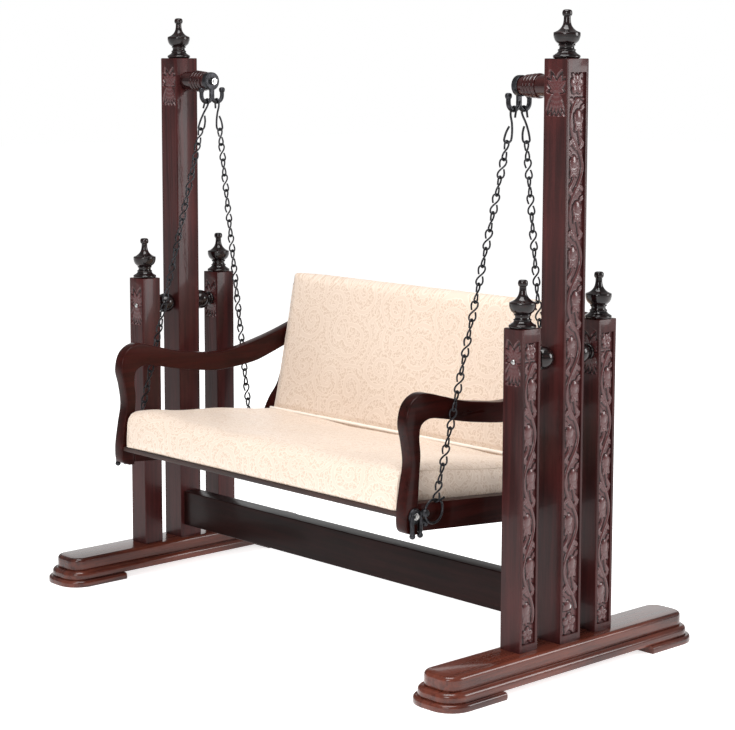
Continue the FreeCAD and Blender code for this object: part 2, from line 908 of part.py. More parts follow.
def arm_outline():
    """The bulge, waist and knuckle of the front, the long dip of the arm, then back underneath."""
    front = size("arm_front")
    bottom = size("seat_front_height") - size("arm_drop")
    joint_top = back_point(
        size("arm_joint_rise") + size("arm_joint_width"), size("back_post_set_back")
    )
    joint_low = back_point(size("arm_joint_rise"), size("back_post_set_back"))
    reach = joint_top[0] - front
    height = size("arm_height")
    rail_joint = size("rail_front")

    def along(shares):
        return [(front + reach * y, bottom + height * z) for y, z in shares]

    outer_shares = [(0.008, 0.035), (0, 0.145), (0.015, 0.342), (0.031, 0.51), (0.02, 0.668)]
    outer_shares += [(0.005, 0.799), (0.028, 0.935), (0.09, 1), (0.2, 0.96), (0.309, 0.905)]
    outer_shares += [(0.423, 0.872), (0.537, 0.849), (0.647, 0.862), (0.782, 0.915), (0.892, 0.968)]
    inner_shares = [(0.86, 0.786), (0.768, 0.734), (0.637, 0.704), (0.537, 0.696), (0.416, 0.722)]
    inner_shares += [(0.309, 0.754), (0.202, 0.796), (0.128, 0.812), (0.087, 0.775), (0.077, 0.693)]
    inner_shares += [(0.083, 0.568), (0.078, 0.437)]
    toe = along([(0.045, 0)])[0]
    heel = along([(0, 0.23)])[0]
    outline = Outline(*toe)
    outline.smooth(along(outer_shares) + [joint_top])
    outline.line(*joint_low)
    outline.smooth(along(inner_shares) + [(rail_joint, heel[1])])
    outline.line(rail_joint, bottom)
    return outline.close()


def back_post_outline():
    """A foot that meets the side rail, swept back into a straight leaning upright."""
    set_back = size("back_post_set_back")
    width = size("back_post_width")
    top = size("back_post_top")
    joint = size("rail_back")
    foot_low = rail_height(joint, -1)
    foot_high = rail_height(joint, 1)
    heel = joint + size("back_foot_width")
    low_share, bend_share, sweep_share = 0.14, 0.42, 0.36
    straight = back_point(size("arm_joint_rise") * bend_share, set_back)
    low = back_point(size("arm_joint_rise") * low_share, set_back * sweep_share)
    rounding = width / 2
    outline = Outline(joint, foot_low)
    outline.line(joint, foot_high)
    outline.smooth([low, straight])
    outline.line(*back_point(top - rounding, set_back))
    outline.arc(back_point(top, set_back + rounding), back_point(top - rounding, set_back + width))
    outline.line(*back_point(size("arm_joint_rise") * bend_share, set_back + width))
    outline.smooth([back_point(0, set_back + width * 0.62), (heel, foot_low)])
    return outline.close()


def side_rail_outline():
    front = size("rail_front")
    back = size("rail_back")
    outline = Outline(front, rail_height(front, -1))
    outline.line(back, rail_height(back, -1))
    outline.line(back, rail_height(back, 1))
    outline.line(front, rail_height(front, 1))
    return outline.close()


def make_sides():
    middle = "(sizes.arm_outer_face - sizes.arm_thickness / 2)"
    for side, sign in SIDES.items():
        arm = pad(f"{side}_arm_board", "YZ_Plane", arm_outline(), "sizes.arm_thickness", True)
        place(arm, f"{sign} * {middle}")
        keep(arm, f"{side}_arm")
        back_post = pad(
            f"{side}_back_board", "YZ_Plane", back_post_outline(), "sizes.arm_thickness", True
        )
        place(back_post, f"{sign} * {middle}")
        keep(back_post, f"{side}_back_post")
        rail = pad(
            f"{side}_rail_board", "YZ_Plane", side_rail_outline(), "sizes.arm_thickness", True
        )
        place(rail, f"{sign} * {middle}")
        keep(rail, f"{side}_side_rail")


def cross_board(name, corners):
    """A board that runs between the sides of the bench, from its outline in Y and Z."""
    outline = Outline(*corners[0])
    outline.lines(corners[1:])
    return pad(
        name,
        "YZ_Plane",
        outline.close(),
        "2 * (sizes.arm_outer_face - sizes.arm_thickness)",
        True,
    )


def square(point, first, second, low, high):
    """The four corners between two places along a frame and two across it."""
    return [point(first, low), point(second, low), point(second, high), point(first, high)]


def make_seat_frame():
    thickness = size("seat_board_thickness")
    depth = size("seat_board_depth")
    keep(cross_board("seat_ply", square(seat_point, 0, depth, -thickness, 0)), "seat_board")
    batten_shares = [0.19, 0.48, 0.79]
    width = size("batten_width")
    low = -thickness - size("batten_thickness")
    battens = []
    for number, share in enumerate(batten_shares, start=1):
        front = depth * share - width / 2
        corners = square(seat_point, front, front + width, low, -thickness)
        battens.append(cross_board(f"batten_{number}", corners))
    keep(group("batten_set", battens), "seat_battens")


def make_back_frame():
    panel_front = size("back_cushion_thickness")
    rail_front = panel_front + size("back_panel_thickness")
    rail_back = rail_front + size("back_rail_thickness")
    width = size("back_rail_width")
    low = -size("back_foot_length")
    top = size("back_post_top")
    corners = square(back_point, low, top, panel_front, rail_front)
    keep(cross_board("back_ply", corners), "back_panel")
    corners = square(back_point, low, low + width, rail_front, rail_back)
    keep(cross_board("lower_rail_board", corners), "back_lower_rail")
    shoulder = top - size("back_post_width") / 2
    corners = square(back_point, shoulder - width, shoulder, rail_front, rail_back)
    keep(cross_board("top_rail_board", corners), "back_top_rail")


# Cushions: lofts through sections along X, fuller in the middle and drawn in at the ends


def section_wire(x, outline):
    wire = Part.Wire([curve.toShape() for curve in outline.curves])
    stand = Rotation(Vector(1, 1, 1), 120)
    wire.Placement = Placement(Vector(x, 0, 0), stand)
    return wire


def cushion(outline_at, half_length):
    """Loft through outlines that outline_at draws, least full at the ends and full at 1."""
    fullness_shares = [(1, 0.1), (0.985, 0.5), (0.95, 0.72), (0.8, 0.9), (0.45, 0.98), (0, 1)]
    places = [(-x, full) for x, full in fullness_shares]
    places += [(x, full) for x, full in reversed(fullness_shares[:-1])]
    wires = [section_wire(half_length * x, outline_at(full)) for x, full in places]
    return Part.makeLoft(wires, True, True)


def seat_section(fullness):
    draw = size("cushion_draw") * (1 - fullness)
    front = draw
    back = size("seat_depth")
    height = size("seat_cushion_thickness") - draw
    back_height = size("seat_cushion_back_thickness") - draw
    lean = math.radians(size("back_angle") - size("seat_angle"))
    lifted = size("link_gap")
    round_off = size("seat_cushion_round")
    bulge = round_off * (1 - math.sqrt(0.5))
    crown = size("seat_crown") * fullness
    middle = (height + back_height) / 2 + crown
    slack = round_off / 3
    outline = Outline(*seat_point(front + slack, lifted))
    outline.arc(
        seat_point(front - slack * fullness / 2, height / 2),
        seat_point(front, height - round_off),
    )
    outline.arc(
        seat_point(front + bulge, height - bulge),
        seat_point(front + round_off, height),
    )
    outline.arc(
        seat_point((front + back) / 2, middle),
        seat_point(back - slack, back_height),
    )
    outline.line(*seat_point(back + (back_height - slack) * math.tan(lean), back_height - slack))
    outline.line(*seat_point(back, lifted))
    return outline.close()


def back_section(fullness):
    draw = size("cushion_draw") * (1 - fullness)
    top = size("back_rise") - draw / 2
    low = -size("back_foot_length")
    thickness = size("back_cushion_thickness")
    round_off = size("back_cushion_round")
    bulge = round_off * (1 - math.sqrt(0.5))
    crown = size("back_crown") * fullness
    face = draw
    outline = Outline(*back_point(low, thickness))
    outline.line(*back_point(low, face))
    outline.line(*back_point(0, face))
    outline.arc(
        back_point(top / 2, face - crown),
        back_point(top - round_off, face),
    )
    outline.arc(
        back_point(top - bulge, face + bulge),
        back_point(top, face + round_off),
    )
    outline.line(*back_point(top, thickness - round_off))
    outline.arc(
        back_point(top - bulge, thickness - bulge),
        back_point(top - round_off, thickness),
    )
    return outline.close()


def make_cushions():
    half_length = size("arm_outer_face") - size("arm_thickness") - size("cushion_side_gap")
    keep(free_shape("seat_pad", cushion(seat_section, half_length)), "seat_cushion")
    keep(free_shape("back_pad", cushion(back_section, half_length)), "back_cushion")


def check_and_export():
    """Stop if anything failed to build, then write one file for each piece."""
    doc.recompute()
    for item in doc.Objects:
        for flag in ("Invalid", "Error"):
            if flag in item.State:
                raise RuntimeError(f"{item.Name} is {flag}")
    os.makedirs("parts", exist_ok=True)
    for label, piece in nodes.items():
        shape = piece.Shape
        if shape.isNull() or not shape.isValid() or not shape.Solids:
            raise RuntimeError(f"{label} has no valid solid")
        shape.exportStep(f"parts/{label}.step")


make_feet()
make_posts()
make_finials()
make_spindles()
make_stretcher()
make_bosses()
make_hanging()
make_fittings()
make_sides()
make_seat_frame()
make_back_frame()
make_cushions()
check_and_export()
print(len(nodes), "pieces written")
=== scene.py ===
# %% [markdown]
# # A jhoola swing
# A jhoola is an indoor swing: a cushioned bench on chains between two carved post frames.
# The CAD model gives each piece its place. This lesson gives each piece its looks.

# %% Load the CAD frame
import math

import bmesh
import bpy
import numpy as np
from mathutils import Matrix, Vector
from mathutils.bvhtree import BVHTree


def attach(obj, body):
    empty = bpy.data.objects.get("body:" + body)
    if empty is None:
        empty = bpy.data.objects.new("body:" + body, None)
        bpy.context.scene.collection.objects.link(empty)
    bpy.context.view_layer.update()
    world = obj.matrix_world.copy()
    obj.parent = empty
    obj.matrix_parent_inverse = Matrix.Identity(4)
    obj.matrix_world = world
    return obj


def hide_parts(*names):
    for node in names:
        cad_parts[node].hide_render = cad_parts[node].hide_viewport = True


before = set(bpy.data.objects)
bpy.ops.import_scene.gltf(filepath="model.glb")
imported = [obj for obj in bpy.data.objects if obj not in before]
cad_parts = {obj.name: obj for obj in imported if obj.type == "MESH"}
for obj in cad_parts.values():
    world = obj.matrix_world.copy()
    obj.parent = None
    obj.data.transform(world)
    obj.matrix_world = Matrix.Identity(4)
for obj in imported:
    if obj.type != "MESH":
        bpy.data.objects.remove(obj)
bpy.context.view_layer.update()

print(len(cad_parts), "CAD nodes loaded")

# %% [markdown]
# ## Camera
# The photograph was taken with a long lens from the right, about as high as the posts.
# The angles below were solved from the parallel edges of the posts and feet.

# %% Place the camera
IMAGE_WIDTH, IMAGE_HEIGHT = 735, 730
FOCAL_PIXELS = 2002.56
OPTICAL_CENTRE = (357.55, 309.98)
yaw, pitch, roll = (math.radians(angle) for angle in (47.2386, 7.1319, -0.0715))
forward = Vector((
    -math.sin(yaw) * math.cos(pitch), math.cos(yaw) * math.cos(pitch), -math.sin(pitch)
))
right = Matrix.Rotation(roll, 3, forward) @ Vector((math.cos(yaw), math.sin(yaw), 0))
up = right.cross(forward)
lens = bpy.data.cameras.new("photo_lens")
lens.sensor_width = 36
lens.lens = FOCAL_PIXELS / IMAGE_WIDTH * lens.sensor_width
lens.shift_x = (IMAGE_WIDTH / 2 - OPTICAL_CENTRE[0]) / IMAGE_WIDTH
lens.shift_y = (OPTICAL_CENTRE[1] - IMAGE_HEIGHT / 2) / IMAGE_WIDTH
camera = bpy.data.objects.new("photo_camera", lens)
camera.matrix_world = Matrix((right, up, -forward)).transposed().to_4x4()
camera.location = (4.6033, -4.2356, 1.7465)
bpy.context.collection.objects.link(camera)
bpy.context.scene.camera = camera
print(f"lens {lens.lens:.1f} mm")

# %% [markdown]
# ## Studio
# Lacquer shows its surroundings, so the lights are large and soft and stand where the
# photograph's reflections come from: a sheet to the right for the carved faces, one in
# front, one above, a wide dim one behind, and an even glow from all round. The camera sees
# a white world, and the swing is lit by a dimmer one.

# %% Floor, glow and soft lights
scene = bpy.context.scene
scene.view_settings.view_transform = "Standard"
world = bpy.data.worlds.new("studio_glow")
scene.world = world
world.use_nodes = True
WHITE = (1, 1, 1, 1)
add_node, link_world = world.node_tree.nodes.new, world.node_tree.links.new
glow = world.node_tree.nodes["Background"]
glow.inputs["Color"].default_value = WHITE
glow.inputs["Strength"].default_value = 0.3
seen = add_node("ShaderNodeBackground")
seen.inputs["Color"].default_value = WHITE
path = add_node("ShaderNodeLightPath")
either = add_node("ShaderNodeMixShader")
link_world(path.outputs["Is Camera Ray"], either.inputs[0])
link_world(glow.outputs[0], either.inputs[1])
link_world(seen.outputs[0], either.inputs[2])
link_world(either.outputs[0], world.node_tree.nodes["World Output"].inputs["Surface"])


def soft_light(name, place, target, width, height, power):
    """A rectangle of light at a place, turned to its target."""
    data = bpy.data.lights.new(name, "AREA")
    data.shape = "RECTANGLE"
    data.size = width
    data.size_y = height
    data.energy = power
    lamp = bpy.data.objects.new(name, data)
    lamp.location = place
    lamp.rotation_euler = (Vector(target) - Vector(place)).to_track_quat("-Z", "Y").to_euler()
    bpy.context.collection.objects.link(lamp)
    return lamp


soft_light("right_sheet", (4.4, 3.4, 2.3), (0, 0, 1.2), 2.0, 2.2, 125)
soft_light("front_sheet", (3.0, -5.2, 2.8), (0, 0, 0.7), 2.2, 2.0, 120)
soft_light("top_sheet", (0.8, -1.0, 4.6), (0, 0, 0.5), 2.6, 2.6, 175)
back_sheet = soft_light("back_sheet", (-3.9, 4.4, 1.7), (0, 0, 0.5), 5.5, 2.6, 40)
back_sheet.visible_camera = False
print(len(bpy.data.lights), "lights")

# %% [markdown]
# ## Shader arithmetic
# A finish is a sum of patterns. Value wraps one socket so that patterns can be added and
# multiplied as plain expressions, and Finish makes the nodes behind them.


# %% A socket that takes part in arithmetic
class Value:
    """One number of a shader, which the usual operators combine with others."""

    def __init__(self, finish, socket):
        self.finish = finish
        self.socket = socket

    def __add__(self, other):
        return self.finish.maths("ADD", self, other)

    def __sub__(self, other):
        return self.finish.maths("SUBTRACT", self, other)

    def __rsub__(self, other):
        return self.finish.maths("SUBTRACT", other, self)

    def __mul__(self, other):
        return self.finish.maths("MULTIPLY", self, other)


# %% A material that makes its own nodes
class Finish:
    """A material, built by adding nodes to it."""

    def __init__(self, name):
        self.material = bpy.data.materials.new(name)
        self.material.use_nodes = True
        self.tree = self.material.node_tree
        self.shader = self.tree.nodes["Principled BSDF"]

    def node(self, kind, settings=(), inputs=()):
        """Add a node: its settings come first, then its inputs as values or links."""
        made = self.tree.nodes.new(f"ShaderNode{kind}")
        for key, value in dict(settings).items():
            setattr(made, key, value)
        for key, value in dict(inputs).items():
            self.feed(made.inputs[key], value)
        return made

    def feed(self, socket, value):
        if isinstance(value, Value):
            value = value.socket
        if isinstance(value, bpy.types.NodeSocket):
            self.tree.links.new(value, socket)
        else:
            socket.default_value = value

    def value(self, kind, output, settings=(), inputs=()):
        return Value(self, self.node(kind, settings, inputs).outputs[output])

    def maths(self, operation, *values):
        inputs = dict(enumerate(values))
        return self.value("Math", 0, {"operation": operation}, inputs)

    def step(self, amount, low, high):
        """Rise softly from 0 to 1 as amount goes from low to high."""
        settings = {"interpolation_type": "SMOOTHSTEP"}
        inputs = {"Value": amount, "From Min": low, "From Max": high}
        return self.value("MapRange", "Result", settings, inputs)

    def blend(self, amount, first, second):
        """Mix two colours, each a colour or a socket."""
        made = self.node("Mix", {"data_type": "RGBA"}, {0: amount})
        self.feed(made.inputs[6], first)
        self.feed(made.inputs[7], second)
        return made.outputs[2]

    def noise(self, where, scale, detail=4, roughness=0.5):
        inputs = {"Vector": where, "Scale": scale, "Detail": detail, "Roughness": roughness}
        return self.value("TexNoise", "Fac", inputs=inputs)

    def place(self, scale=(1, 1, 1)):
        """The point on the object; a small scale stretches a pattern along that axis."""
        point = self.node("TexCoord").outputs["Object"]
        inputs = {"Vector": point, "Scale": scale}
        return self.node("Mapping", inputs=inputs).outputs["Vector"]

    def bump(self, height, distance, strength=1.0):
        inputs = {"Height": height, "Distance": distance, "Strength": strength}
        self.feed(self.shader.inputs["Normal"], self.node("Bump", inputs=inputs).outputs["Normal"])

    def surface(self, **inputs):
        """Set the shader's own sockets; an underscore stands for a space."""
        for key, value in inputs.items():
            self.feed(self.shader.inputs[key.replace("_", " ")], value)
        return self.material


def colour(red, green, blue):
    """A colour from its three screen values, 0 to 255, as the shader's linear light."""
    linear = [
        (part / 255 / 12.92) if part < 11 else ((part / 255 + 0.055) / 1.055) ** 2.4
        for part in (red, green, blue)
    ]
    return (*linear, 1)


print("shader helpers ready")

# %% [markdown]
# ## Lacquered timber
# Posts, feet, rails and arms are dark mahogany under a clear coat, which is glossiest on
# the feet. The grain is noise stretched along the board, so each board needs the finish
# that runs its own way.


# %% Lacquer for boards along X, Y or Z
GRAIN_STRETCH = {"x": (0.05, 1, 1), "y": (1, 0.05, 1), "z": (1, 1, 0.05)}


def lacquer(name, along, dark, warm, roughness=0.26, coat=0.12, specular=0.16):
    """Stained timber under a clear coat, with grain, pores and a slow drift of colour."""
    finish = Finish(name)
    grain_place = finish.place(GRAIN_STRETCH[along])
    broad = finish.noise(finish.place(), 3.1, 2)
    grain = finish.noise(grain_place, 55, 6, 0.62)
    pores = finish.noise(grain_place, 420, 2, 0.5)
    streak = finish.step(grain, 0.36, 0.68)
    drift = finish.step(broad, 0.35, 0.66)
    warmth = streak * 0.55 + drift * 0.45
    stain = finish.blend(warmth, dark, warm)
    pore_mask = finish.step(pores, 0.62, 0.72)
    stained = finish.blend(pore_mask * 0.5, stain, colour(14, 8, 8))
    finish.bump(grain * 0.5 - pore_mask * 0.5, 0.0003, 0.22)
    return finish.surface(
        Base_Color=stained,
        Roughness=grain * 0.16 + roughness,
        Coat_Weight=coat,
        Coat_Roughness=0.08,
        Specular_IOR_Level=specular,
    )


POST_DARK, POST_WARM = colour(42, 18, 18), colour(74, 32, 31)
FOOT_DARK, FOOT_WARM = colour(50, 22, 18), colour(106, 52, 38)
RED_DARK, RED_WARM = colour(28, 8, 6), colour(54, 15, 11)
BEAM_DARK, BEAM_WARM = colour(22, 10, 9), colour(40, 18, 16)
post_lacquer = lacquer("post_lacquer", "z", POST_DARK, POST_WARM)
rail_lacquer = lacquer(
    "rail_lacquer", "x", BEAM_DARK, BEAM_WARM, roughness=0.3, coat=0.04, specular=0.09
)
foot_lacquer = lacquer("foot_lacquer", "y", FOOT_DARK, FOOT_WARM, roughness=0.2, coat=0.5)
arm_lacquer = lacquer(
    "arm_lacquer", "y", RED_DARK, RED_WARM, roughness=0.22, coat=0.06, specular=0.1
)
print("four lacquers")

# %% [markdown]
# ## Carved timber
# In a carving, shade is painted dark at the foot of each form, and polish reaches the high parts.
# Each carved mesh keeps its own height in an attribute, and the finish reads it.


# %% Lacquer that follows the height of the carving
def carved_lacquer(name):
    """Lacquer from the ground of a carving, at height 0, to its crests, at height 1."""
    finish = Finish(name)
    height = Value(finish, finish.node("Attribute", {"attribute_name": "relief"}).outputs["Fac"])
    grain = finish.noise(finish.place(GRAIN_STRETCH["z"]), 70, 5, 0.6)
    tooling = finish.noise(finish.place(), 260, 3, 0.6)
    polished = finish.step(height, 0.2, 0.95)
    # painted shade: low slopes at the foot of each form and the cut ditches are darkened towards
    # near-black
    painted_crevice_shade = finish.step(height, 0.01, 0.06) * (1 - finish.step(height, 0.2, 0.6))
    ground = finish.blend(grain, colour(66, 33, 34), colour(90, 48, 49))
    crest = finish.blend(grain, colour(64, 30, 31), colour(90, 47, 47))
    stained = finish.blend(polished, ground, crest)
    finish.bump(tooling, 0.0005, 0.5)
    return finish.surface(
        Base_Color=finish.blend(painted_crevice_shade * 0.85, stained, colour(20, 9, 9)),
        Roughness=0.42 - polished * 0.16 + tooling * 0.08,
        Coat_Weight=polished * 0.4 + 0.2,
        Coat_Roughness=0.1,
        Specular_IOR_Level=0.3,
    )


carving = carved_lacquer("carved_lacquer")
print("carving finish")

# %% [markdown]
# ## Turned wood, iron, zinc and plywood
# The finials, balls and bosses are turned and lacquered almost black. The hooks and chains
# are blackened iron, only half glossy, and the bolt heads and nuts are bright zinc.


# %% Turned wood
def turned_finish():
    finish = Finish("turned_lacquer")
    rings = finish.noise(finish.place((1, 1, 6)), 40, 4, 0.6)
    tint = finish.blend(finish.step(rings, 0.4, 0.7), colour(14, 9, 10), colour(34, 17, 16))
    finish.bump(rings, 0.0003, 0.15)
    return finish.surface(
        Base_Color=tint, Roughness=rings * 0.1 + 0.12, Coat_Weight=0.3, Coat_Roughness=0.04,
        Specular_IOR_Level=0.25,
    )


def metal(name, dark, light, roughness, metallic, dent):
    """Metal with cloudy colour and a slightly uneven skin."""
    finish = Finish(name)
    cloud = finish.noise(finish.place(), 90, 5, 0.6)
    pits = finish.noise(finish.place(), 700, 2, 0.5)
    finish.bump(cloud + pits * 0.6, dent, 0.5)
    return finish.surface(
        Base_Color=finish.blend(finish.step(cloud, 0.3, 0.7), dark, light),
        Roughness=cloud * 0.22 + roughness,
        Metallic=metallic,
    )


turned_wood = turned_finish()
black_iron = metal(
    "black_iron", colour(24, 24, 26), colour(58, 58, 62), roughness=0.26, metallic=0.75, dent=0.0004
)
zinc = metal(
    "bright_zinc", colour(150, 150, 152), colour(205, 204, 200), roughness=0.18, metallic=1.0,
    dent=0.0001,
)
print("turned wood, iron and zinc")


# %% Stained plywood
def plywood_finish():
    finish = Finish("stained_plywood")
    face = finish.noise(finish.place((0.06, 1, 1)), 34, 5, 0.65)
    flecks = finish.noise(finish.place((0.2, 1, 1)), 300, 2, 0.5)
    tint = finish.blend(finish.step(face, 0.35, 0.7), colour(34, 17, 13), colour(68, 38, 28))
    finish.bump(face + flecks * 0.4, 0.0004, 0.3)
    return finish.surface(Base_Color=tint, Roughness=face * 0.2 + 0.42)


plywood = plywood_finish()
print("plywood")

# %% [markdown]
# ## Brocade
# The cushions are covered in cream brocade with large curled scrolls filled with fine
# curls, woven in a satin thread that is only a little lighter than its ground. Each
# scroll is a spiral round the middle of a Voronoi cell: the angle round the middle plus
# the distance from it makes the arms. The same pattern at a small scale makes the fill.


# %% Brocade from spirals in cells
def spirals(finish, where, scale, turns):
    """Arms of a spiral round each cell's middle, as a wave that is 1 along the arms."""
    settings = {"voronoi_dimensions": "2D", "feature": "F1"}
    inputs = {"Vector": where, "Scale": scale, "Randomness": 0.75}
    cells = finish.node("TexVoronoi", settings, inputs)
    subtract = {"operation": "SUBTRACT"}
    spoke = finish.node("VectorMath", subtract, {0: where, 1: cells.outputs["Position"]})
    parts = finish.node("SeparateXYZ", inputs={0: spoke.outputs[0]})
    angle = finish.maths("ARCTAN2", parts.outputs[1], parts.outputs[0])
    return finish.maths("SINE", angle + Value(finish, cells.outputs["Distance"]) * turns)


def brocade_finish():
    finish = Finish("cream_brocade")
    cloth = finish.node("UVMap", {"uv_map": "cloth"}).outputs[0]
    wobble = finish.node("TexNoise", inputs={"Vector": cloth, "Scale": 9, "Detail": 3})
    scaled = {"operation": "SCALE"}
    nudge = finish.node("VectorMath", scaled, {0: wobble.outputs["Color"], "Scale": 0.045})
    curled = finish.node("VectorMath", inputs={0: cloth, 1: nudge.outputs[0]}).outputs[0]
    scroll = spirals(finish, curled, 7.4, 21)
    band = finish.step(scroll, 0.62, 0.7)
    rim = finish.step(scroll, 0.36, 0.44) - band
    leaf = finish.step(spirals(finish, curled, 28, 14), 0.3, 0.8)
    curl = finish.step(spirals(finish, curled, 74, 9), -0.2, 0.7)
    fill = finish.maths("MAXIMUM", leaf * 0.8, curl * 0.7)
    figure = fill * (1 - band - rim) + band * 0.55 + rim
    threads = finish.node("TexWave", {"wave_type": "BANDS"}, {"Vector": cloth, "Scale": 330})
    weave = Value(finish, threads.outputs["Fac"])
    drift = finish.noise(finish.place(), 6, 3)
    ground = finish.blend(drift, colour(214, 190, 169), colour(220, 198, 178))
    thread = finish.blend(drift, colour(236, 217, 201), colour(242, 226, 211))
    finish.bump(figure + weave * 0.18, 0.0005, 0.4)
    return finish.surface(
        Base_Color=finish.blend(figure, ground, thread),
        Roughness=0.5 - figure * 0.14,
        Sheen_Weight=0.2,
        Sheen_Roughness=0.4,
        Specular_IOR_Level=0.5,
    )


brocade = brocade_finish()
# The crease cord is a real seam cord, coloured lighter than the brocade as a painted highlight
# along the crease.
cord_painted_highlight = Finish("satin_cord_painted_highlight").surface(
    Base_Color=colour(248, 238, 226), Roughness=0.32, Sheen_Weight=0.2, Specular_IOR_Level=0.5
)
print("brocade and piping")

# %% [markdown]
# ## Mesh helpers
# Every piece is a mesh with its place in its vertices and its object at the origin.
# These helpers add one to the scene, set which edges stay sharp, and say what it replaces.


# %% Adding a piece
STAND, SWING = "stand", "swing"
SIDES = (("left", -1), ("right", 1))
ENDS = (("front", -1), ("rear", 1))


def add_piece(name, vertices, faces, finish, body, slot, nodes=(), sharp=40):
    """A mesh object with its finish, its body and the CAD nodes it stands for; slot is not used."""
    mesh = bpy.data.meshes.new(name)
    mesh.from_pydata([tuple(point) for point in vertices], [], faces)
    return dress_mesh(name, mesh, finish, body, slot, nodes, sharp)


def is_rounded(face):
    """A small face of a rounded form is shaded smooth; a large or many-sided one is flat."""
    return face.loop_total <= 4 and face.area < 0.0009


def dress_mesh(name, mesh, finish, body, slot, nodes=(), sharp=40):
    mesh.name = name
    mesh.update()
    if finish is not None:
        mesh.materials.clear()
        mesh.materials.append(finish)
    mesh.polygons.foreach_set("use_smooth", [is_rounded(face) for face in mesh.polygons])
    mesh.set_sharp_from_angle(angle=math.radians(sharp))
    piece = bpy.data.objects.new(name, mesh)
    bpy.context.collection.objects.link(piece)
    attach(piece, body)
    if nodes:
        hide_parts(*nodes)
    return piece


def gather(parts):
    """Join meshes given as (vertices, faces) into one such pair."""
    vertices, faces = [], []
    for part_vertices, part_faces in parts:
        offset = len(vertices)
        vertices.extend(part_vertices)
        faces.extend([[offset + corner for corner in face] for face in part_faces])
    return vertices, faces


def band(low, high, count):
    """The faces between two rings of vertices, given by their first numbers."""
    return [
        [low + n, low + (n + 1) % count, high + (n + 1) % count, high + n] for n in range(count)
    ]


def moved(part, matrix):
    vertices, faces = part
    return [matrix @ Vector(point) for point in vertices], faces


def frame_at(origin, direction):
    """A matrix that stands a shape made along Z at a point, along a direction."""
    turn = Vector((0, 0, 1)).rotation_difference(Vector(direction))
    return Matrix.Translation(Vector(origin)) @ turn.to_matrix().to_4x4()


print("mesh helpers ready")

# %% [markdown]
# ## Smooth lines
# A scroll, a turned profile and a bent wire are all drawn through a few points.
# A Catmull-Rom curve passes through each of them without a corner.


# %% Curves through points
def between(first, last, t, start, end):
    """Mix two points by where t lies from start to end."""
    return ((end - t) * first + (t - start) * last) / (end - start)


def through(points, steps=6):
    """Points of a smooth curve through the given points, of two or three coordinates."""
    places = [np.array(point, float) for point in points]
    ends = [2 * places[0] - places[1], *places, 2 * places[-1] - places[-2]]
    curve = []
    for before, here, there, after in zip(ends, ends[1:], ends[2:], ends[3:]):
        knots = [0.0]
        for first, second in ((before, here), (here, there), (there, after)):
            knots.append(knots[-1] + max(np.linalg.norm(second - first), 1e-6) ** 0.5)
        for step in range(steps):
            t = knots[1] + (knots[2] - knots[1]) * step / steps
            low = [
                between(*pair, t, knots[k], knots[k + 1])
                for k, pair in enumerate(((before, here), (here, there), (there, after)))
            ]
            mid = [between(low[k], low[k + 1], t, knots[k], knots[k + 2]) for k in (0, 1)]
            curve.append(between(*mid, t, knots[1], knots[2]))
    curve.append(places[-1])
    return curve


def sweep_angles(centre, radius, first, last, steps, level, rise):
    """Points on a circle between two angles in degrees."""
    points = []
    for step in range(steps + 1):
        angle = math.radians(first + (last - first) * step / steps)
        points.append(Vector(centre) + (level * math.cos(angle) + rise * math.sin(angle)) * radius)
    return points


print("curves ready")


# %% Turning and bending
def turned(runs, sides=48, steps=5):
    """A closed turned shape round Z; each run of (radius, height) is a smooth stretch."""
    profile = []
    for run in runs:
        line = through(run, steps) if len(run) > 2 else [np.array(point, float) for point in run]
        profile.extend(line)
    vertices, faces, rings = [], [], []
    for radius, height in profile:
        rings.append(len(vertices))
        for side in range(sides):
            angle = 2 * math.pi * side / sides
            vertices.append((radius * math.cos(angle), radius * math.sin(angle), height))
    for low, high in zip(rings, rings[1:]):
        if not np.allclose(vertices[low], vertices[high]):
            faces += band(low, high, sides)
    faces.append([rings[0] + side for side in reversed(range(sides))])
    faces.append([rings[-1] + side for side in range(sides)])
    return vertices, faces


def bored(runs, sides=56):
    """A turned shape with a bore: its profile comes back to its start."""
    vertices, faces = turned(runs, sides)
    return vertices, faces[:-2]


def wire(points, radius, sides=10):
    """Round wire along points, closed at both ends."""
    places = [Vector(point) for point in points]
    ahead = (places[1] - places[0]).normalized()
    across = ahead.orthogonal().normalized()
    vertices, faces = [], []
    for number, place in enumerate(places):
        before = places[max(number - 1, 0)]
        after = places[min(number + 1, len(places) - 1)]
        heading = (after - before).normalized()
        across = (ahead.rotation_difference(heading) @ across).normalized()
        ahead = heading
        upright = heading.cross(across)
        for side in range(sides):
            angle = 2 * math.pi * side / sides
            spoke = across * math.cos(angle) + upright * math.sin(angle)
            vertices.append(place + spoke * radius)
    for low in range(0, len(vertices) - sides, sides):
        faces += band(low, low + sides, sides)
    faces.append(list(reversed(range(sides))))
    faces.append(list(range(len(vertices) - sides, len(vertices))))
    return vertices, faces


print("turning and bending ready")

# %% [markdown]
# ## Moulded boards
# A foot board, an arm and a rail are all one outline with thickness, and differ in how
# their edges are worked. Stacking copies of the outline, each drawn in a little, gives
# a rounded edge that follows the outline exactly, where a bevel could pinch on tight curves.


# %% Boards from stacked outlines
def inward(outline):
    """For each corner of an outline that runs anticlockwise, the step that insets it by one."""
    steps = []
    count = len(outline)
    for number in range(count):
        here = np.array(outline[number], float)
        back = here - np.array(outline[number - 1], float)
        ahead = np.array(outline[(number + 1) % count], float) - here
        normals = [np.array((-side[1], side[0])) / np.linalg.norm(side) for side in (back, ahead)]
        middle = normals[0] + normals[1]
        steps.append(middle / max(np.dot(middle, normals[0]), 0.4))
    return steps


